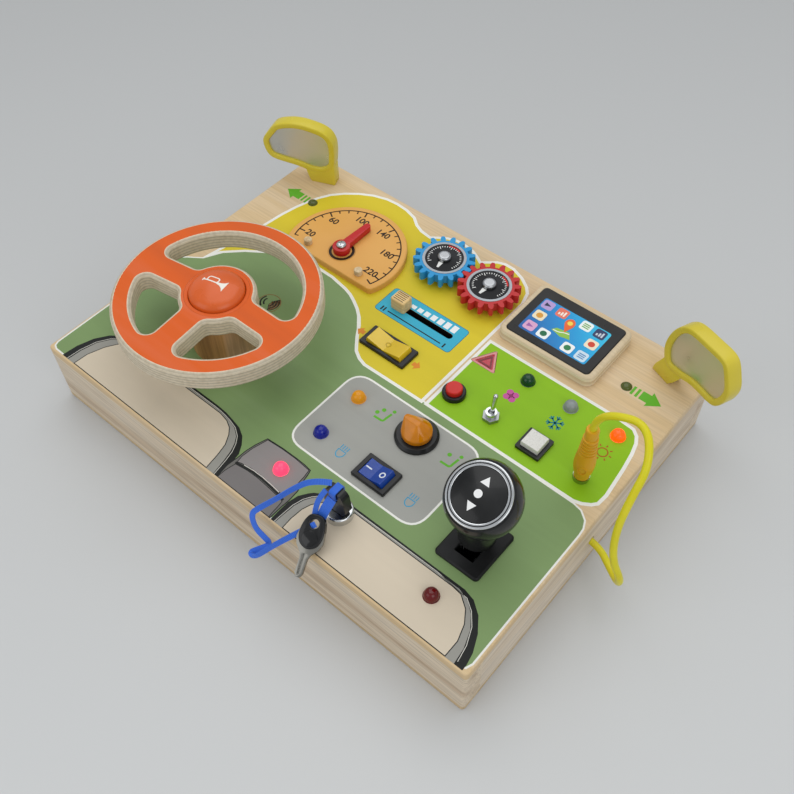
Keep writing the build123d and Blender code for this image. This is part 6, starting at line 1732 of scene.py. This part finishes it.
class OBJECT_OT_busy_board_lamps(bpy.types.Operator):
    """Domed lamps, each with a collar, and the hazard button"""

    bl_idname = "object.busy_board_lamps"
    bl_label = "Lamps"

    def execute(self, context):
        for name, place, code, glow in LAMPS:
            tint = clear(f"{name}_lens", srgb(code), glow, 0.1, 0.2)
            domed(name, place, LAMP_PROFILE, tint, 40)
        olive = clear("turn_lamp_lens", srgb("5E6A2A"), 0.0, 0.1, 0.3)
        for name, place in TURN_LAMPS:
            domed(name, place, TURN_LAMP_PROFILE, olive, 36)
        dress(clear("hazard_rose", srgb("C8384A"), 0.08, 0.18, 0.2), "hazard_lens")
        rim = plastic("hazard_rim", srgb("DB8F8C"), 0.3, 0.05, 500, 0.3)
        deep = plastic("hazard_mark", srgb("7A1422"), 0.3, 0.05, 500, 0.3)
        for (name, bottom, top, outer, inner), finish in zip(HAZARD_RINGS, (rim, deep)):
            ring = hazard_shape(bottom, top, finish, *outer)
            core = hazard_shape(40.0, 43.0, finish, *inner)
            cut(ring, core)
            discard(core)
            seat(ring, name, "board")
        return {"FINISHED"}


# ---------------------------------------------------------------- screen and mirrors
SCREEN_TOP = 49.2
DISPLAY = (68.0, 74.95, 42.0, 26.8)
TILES = (
    ("lilac", (51.0, 84.3), "B59BD0", "1E2A4A", "wedge"),
    ("coral", (60.3, 84.3), "E5735A", "F4E9DC", "columns"),
    ("leaf", (75.3, 84.6), "EDF2EE", "6FA94B", "lines"),
    ("navy", (84.0, 84.4), "26365E", "C3CBD6", "columns"),
    ("cream", (51.6, 75.4), "F1E3BE", "D99A3A", "dot"),
    ("sand", (84.3, 75.6), "F3E4C4", "D2452F", "dot"),
    ("rose", (51.8, 66.2), "DDA7CB", "9B5FA6", "wedge"),
    ("pine", (60.5, 66.0), "F3F5F2", "1F6B46", "dot"),
    ("moss", (75.8, 65.8), "F3F5F2", "2E7F4C", "dot"),
    ("sky", (84.6, 65.6), "CFE3EE", "5B8FC0", "lines"),
)
LAND = [
    (62.0, 71.2), (63.8, 73.9), (67.0, 74.4), (70.9, 75.2), (73.8, 70.8), (71.0, 70.4),
    (68.3, 69.6), (65.0, 70.6),
]
ROAD = [(62.8, 71.6), (66.0, 71.9), (68.6, 73.2), (71.6, 74.0)]
PIN = [
    (68.5, 73.4), (66.2, 77.2), (64.9, 80.0), (65.4, 82.7), (67.6, 84.0), (69.8, 82.6),
    (70.4, 79.9), (69.7, 77.2),
]
PIN_EYE = (67.6, 80.7)


def sign_shapes(kind, x, y):
    """Outlines of a tile's simple sign."""
    if kind == "dot":
        return [circle(x, y, 1.9, 24)]
    if kind == "wedge":
        return [[(x - 1.7, y - 1.4), (x + 1.9, y), (x - 1.7, y + 1.4)]]
    if kind == "columns":
        columns = ((-1.5, 1.6), (0.0, 2.6), (1.5, 3.6))
        return [oblong(x + step, y - 1.8 + tall / 2, 1.0, tall, 0.2) for step, tall in columns]
    return [oblong(x, y + step, 4.0, 0.7, 0.2) for step in (-1.3, 0.0, 1.3)]


class OBJECT_OT_busy_board_screen(bpy.types.Operator):
    """Screen block with its printed display"""

    bl_idname = "object.busy_board_screen"
    bl_label = "Screen"

    def execute(self, context):
        cream = srgb("EADCC0")
        ply = wood("screen_ply", cream, darker(cream, 0.16), ply=(3.3, 0.0), speck=0.12)
        dress(ply, "screen_body")
        dress(plastic("screen_bezel", srgb("131210"), 0.3, 0.02, 300), "screen_glass")
        low, high = SCREEN_TOP - 0.02, SCREEN_TOP + 0.05
        made = Finish("display_blue", srgb("2E7CC4"), 0.25, Specular_IOR_Level=0.3)
        middle = made.add(
            "ShaderNodeMapping", Vector=made.coordinates,
            Location=(-DISPLAY[0] * MM, -DISPLAY[1] * MM, 0),
        ).outputs[0]
        slant = made.add("ShaderNodeSeparateXYZ", Vector=middle)
        corner_to_corner = made.math("ADD", slant.outputs["X"], slant.outputs["Y"])
        blend = made.math("ADD", made.math("MULTIPLY", corner_to_corner, 1 / 0.062), 0.5)
        glow = made.ramp(
            blend, (0.0, srgb("0A5CA6")), (0.45, srgb("0C8ACC")), (0.75, srgb("14A8DC")),
            (1.0, srgb("30C0E2")),
        )
        cloud = made.ramp(made.noise(40, 2.0), (0.3, (0.9, 0.92, 0.95)), (0.7, (1, 1, 1)))
        made.link(made.mix(0.8, glow, cloud, "MULTIPLY"), "Base Color")
        display = plate(oblong(*DISPLAY, 1.6), low, high, made.material)
        seat(display, "display_print", "board")
        tiles = []
        for name, (x, y), code, inner, kind in TILES:
            ground = ink(f"tile_{name}", srgb(code), 0.2)
            tiles.append(plate(oblong(x, y, 6.6, 6.6, 1.6), low, high + 0.04, ground))
            sign = ink(f"sign_{name}", srgb(inner), 0.2)
            tiles += [plate(shape, low, high + 0.08, sign) for shape in sign_shapes(kind, x, y)]
        seat(joined(tiles), "display_tiles", "board")
        green, pale, orange, yellow = (
            ink(name, srgb(code), 0.2)
            for name, code in (
                ("map_green", "8FBF4A"), ("map_road", "F1F1E6"), ("pin_orange", "E8652B"),
                ("pin_yellow", "F6D34A"),
            )
        )
        drawing = [
            plate(LAND, low, high + 0.04, green),
            stroke(flowing(*ROAD, steps=4), 0.6, low, high + 0.07, pale),
            plate(flowing(*PIN, steps=4), low, high + 0.10, orange),
            plate(circle(*PIN_EYE, 1.5, 24), low, high + 0.14, yellow),
        ]
        seat(joined(drawing), "display_map", "board")
        return {"FINISHED"}


MIRROR_PLACE = (119.8, 86.0)                 # right-hand foot
MIRROR_YAW = 22.0
MIRROR_DEPTH = 8.2
MIRROR_BORDER = 3.6
MIRROR_RECESS = 2.2
MIRROR_HEADS = {                             # outward and upward from the foot, by side
    -1: [
        (36.0, 25.4), (31.9, 31.5), (27.0, 37.0), (18.5, 40.0), (10.8, 40.8), (3.2, 39.9),
        (-2.4, 38.5), (-6.8, 35.8), (-9.4, 31.1), (-10.0, 26.0), (-9.8, 20.7), (-8.6, 13.5),
        (-3.0, 8.6), (6.0, 7.6), (14.6, 9.6), (28.6, 11.4), (33.6, 13.9), (36.0, 19.5),
    ],
    1: [
        (-1.9, 19.0), (-2.3, 24.0), (-1.2, 30.4), (0.8, 36.1), (3.8, 41.0), (7.8, 44.6),
        (12.6, 46.2), (18.5, 46.8), (24.3, 47.2), (30.4, 47.6), (34.6, 46.8), (37.2, 44.4),
        (39.6, 40.0), (42.6, 32.0), (41.2, 23.0), (37.6, 17.0), (32.6, 15.2), (26.0, 14.9),
        (20.0, 14.2), (13.0, 11.8), (5.0, 10.4), (0.6, 12.6),
    ],
}
MIRROR_FEET = {
    -1: [
        (-9.0, 0.0), (6.6, 0.0), (8.2, 3.6), (9.6, 9.2), (6.0, 9.8), (-1.8, 10.8), (-6.2, 14.2),
        (-9.1, 15.5),
    ],
    1: [
        (-5.6, 0.0), (6.8, 0.0), (10.0, 4.6), (13.6, 11.8), (12.2, 13.4), (5.6, 12.6), (2.6, 14.2),
        (0.4, 15.4), (-4.6, 4.6),
    ],
}


def middle_of(piece, thickness):
    """Leave only the middle face of a bordered plate and give it its thickness again."""
    edit(piece)
    bpy.ops.mesh.select_mode(type="FACE")
    bpy.ops.mesh.select_all(action="DESELECT")
    bpy.ops.object.mode_set(mode="OBJECT")
    for face in piece.data.polygons:
        face.select = len(face.vertices) == 4 or face.normal.z < 0
    bpy.ops.object.mode_set(mode="EDIT")
    bpy.ops.mesh.delete(type="FACE")
    bpy.ops.mesh.select_mode(type="VERT")
    bpy.ops.mesh.select_all(action="SELECT")
    bpy.ops.mesh.extrude_region_move(TRANSFORM_OT_translate={"value": (0, 0, -thickness * MM)})
    leave()


def mirror_shape(head, foot, paint):
    """Mirror frame with a recess for its glass, standing on its foot."""
    frame_head = plate(head, -MIRROR_DEPTH, 0.0, paint)
    edit(frame_head)
    bpy.ops.mesh.select_all(action="DESELECT")
    bpy.ops.object.mode_set(mode="OBJECT")
    for face in frame_head.data.polygons:
        face.select = face.normal.z > 0.9
    bpy.ops.object.mode_set(mode="EDIT")
    bpy.ops.mesh.inset(thickness=MIRROR_BORDER * MM)
    bpy.ops.mesh.extrude_region_move(TRANSFORM_OT_translate={"value": (0, 0, -MIRROR_RECESS * MM)})
    leave()
    soften(frame_head, 0.9, 3)
    stand = plate(foot, 0.3 - MIRROR_DEPTH, -0.12, paint)
    soften(stand, 0.5, 2)
    return [frame_head, stand]


class OBJECT_OT_busy_board_mirrors(bpy.types.Operator):
    """Wing mirrors"""

    bl_idname = "object.busy_board_mirrors"
    bl_label = "Wing mirrors"

    def execute(self, context):
        paint = lacquer("mirror_paint", tuple(colours().mirror), 0.3)
        silver = metal("mirror_glass", srgb("D4D6D2"), 0.34, wear=0.04)
        yaw = math.radians(MIRROR_YAW)
        frames, glasses = [], []
        for side in (-1, 1):
            outward = Vector((side * math.cos(yaw), -math.sin(yaw), 0))
            facing = Vector((-side * math.sin(yaw), -math.cos(yaw), 0))
            foot = (side * MIRROR_PLACE[0], MIRROR_PLACE[1], FACE)
            place = placed(foot, outward, Vector((0, 0, 1)), facing)
            head = flowing(*MIRROR_HEADS[side], steps=4, closed=True)
            pieces = mirror_shape(head, MIRROR_FEET[side], paint)
            rim = (MIRROR_BORDER + 0.1, silver)
            glass = plate(head, -MIRROR_RECESS - 0.5, 0.7 - MIRROR_RECESS, silver, rim)
            middle_of(glass, 1.2)
            for piece in (*pieces, glass):
                settle(piece, place)
                edit(piece)
                leave()
            frames += pieces
            glasses.append(glass)
        seat(joined(frames), "mirror_heads", "board", 35, ("mirror_frames",))
        seat(joined(glasses), "mirror_plates", "board", 35, ("mirror_glasses",))
        return {"FINISHED"}


# ---------------------------------------------------------------- panel and run
OPERATORS = (
    OBJECT_OT_busy_board_stage,
    OBJECT_OT_busy_board_cord,
    OBJECT_OT_busy_board_tape,
    OBJECT_OT_busy_board_box,
    OBJECT_OT_busy_board_panels,
    OBJECT_OT_busy_board_seats,
    OBJECT_OT_busy_board_marks,
    OBJECT_OT_busy_board_wheel,
    OBJECT_OT_busy_board_dial,
    OBJECT_OT_busy_board_gears,
    OBJECT_OT_busy_board_slider,
    OBJECT_OT_busy_board_switches,
    OBJECT_OT_busy_board_knob,
    OBJECT_OT_busy_board_shifter,
    OBJECT_OT_busy_board_keys,
    OBJECT_OT_busy_board_lamps,
    OBJECT_OT_busy_board_screen,
    OBJECT_OT_busy_board_mirrors,
)
SETTINGS = (
    ("busy_board_prints", BusyBoardPrints),
    ("busy_board_pieces", BusyBoardPieces),
    ("busy_board_stage", BusyBoardStage),
)


class VIEW3D_PT_busy_board(bpy.types.Panel):
    """Settings and pieces of the busy board"""

    bl_idname = "VIEW3D_PT_busy_board"
    bl_label = "Busy board"
    bl_space_type = "VIEW_3D"
    bl_region_type = "UI"
    bl_category = "Busy board"

    def draw(self, context):
        for name, group in SETTINGS:
            box = self.layout.box()
            for setting in group.__annotations__:
                box.prop(getattr(context.scene, name), setting)
        for made in OPERATORS:
            self.layout.operator(made.bl_idname)


def register():
    for name, group in SETTINGS:
        bpy.utils.register_class(group)
        setattr(bpy.types.Scene, name, PointerProperty(type=group))
    for made in (*OPERATORS, VIEW3D_PT_busy_board):
        bpy.utils.register_class(made)


def unregister():
    for made in (VIEW3D_PT_busy_board, *reversed(OPERATORS)):
        bpy.utils.unregister_class(made)
    for name, group in reversed(SETTINGS):
        delattr(bpy.types.Scene, name)
        bpy.utils.unregister_class(group)


def main():
    register()
    bpy.ops.object.busy_board_stage()
    bpy.ops.object.busy_board_cord()
    bpy.ops.object.busy_board_tape()
    bpy.ops.object.busy_board_box()
    bpy.ops.object.busy_board_panels()
    bpy.ops.object.busy_board_seats()
    bpy.ops.object.busy_board_marks()
    bpy.ops.object.busy_board_wheel()
    bpy.ops.object.busy_board_dial()
    bpy.ops.object.busy_board_gears()
    bpy.ops.object.busy_board_slider()
    bpy.ops.object.busy_board_switches()
    bpy.ops.object.busy_board_knob()
    bpy.ops.object.busy_board_shifter()
    bpy.ops.object.busy_board_keys()
    bpy.ops.object.busy_board_lamps()
    bpy.ops.object.busy_board_screen()
    bpy.ops.object.busy_board_mirrors()


if __name__ == "__main__":
    main()
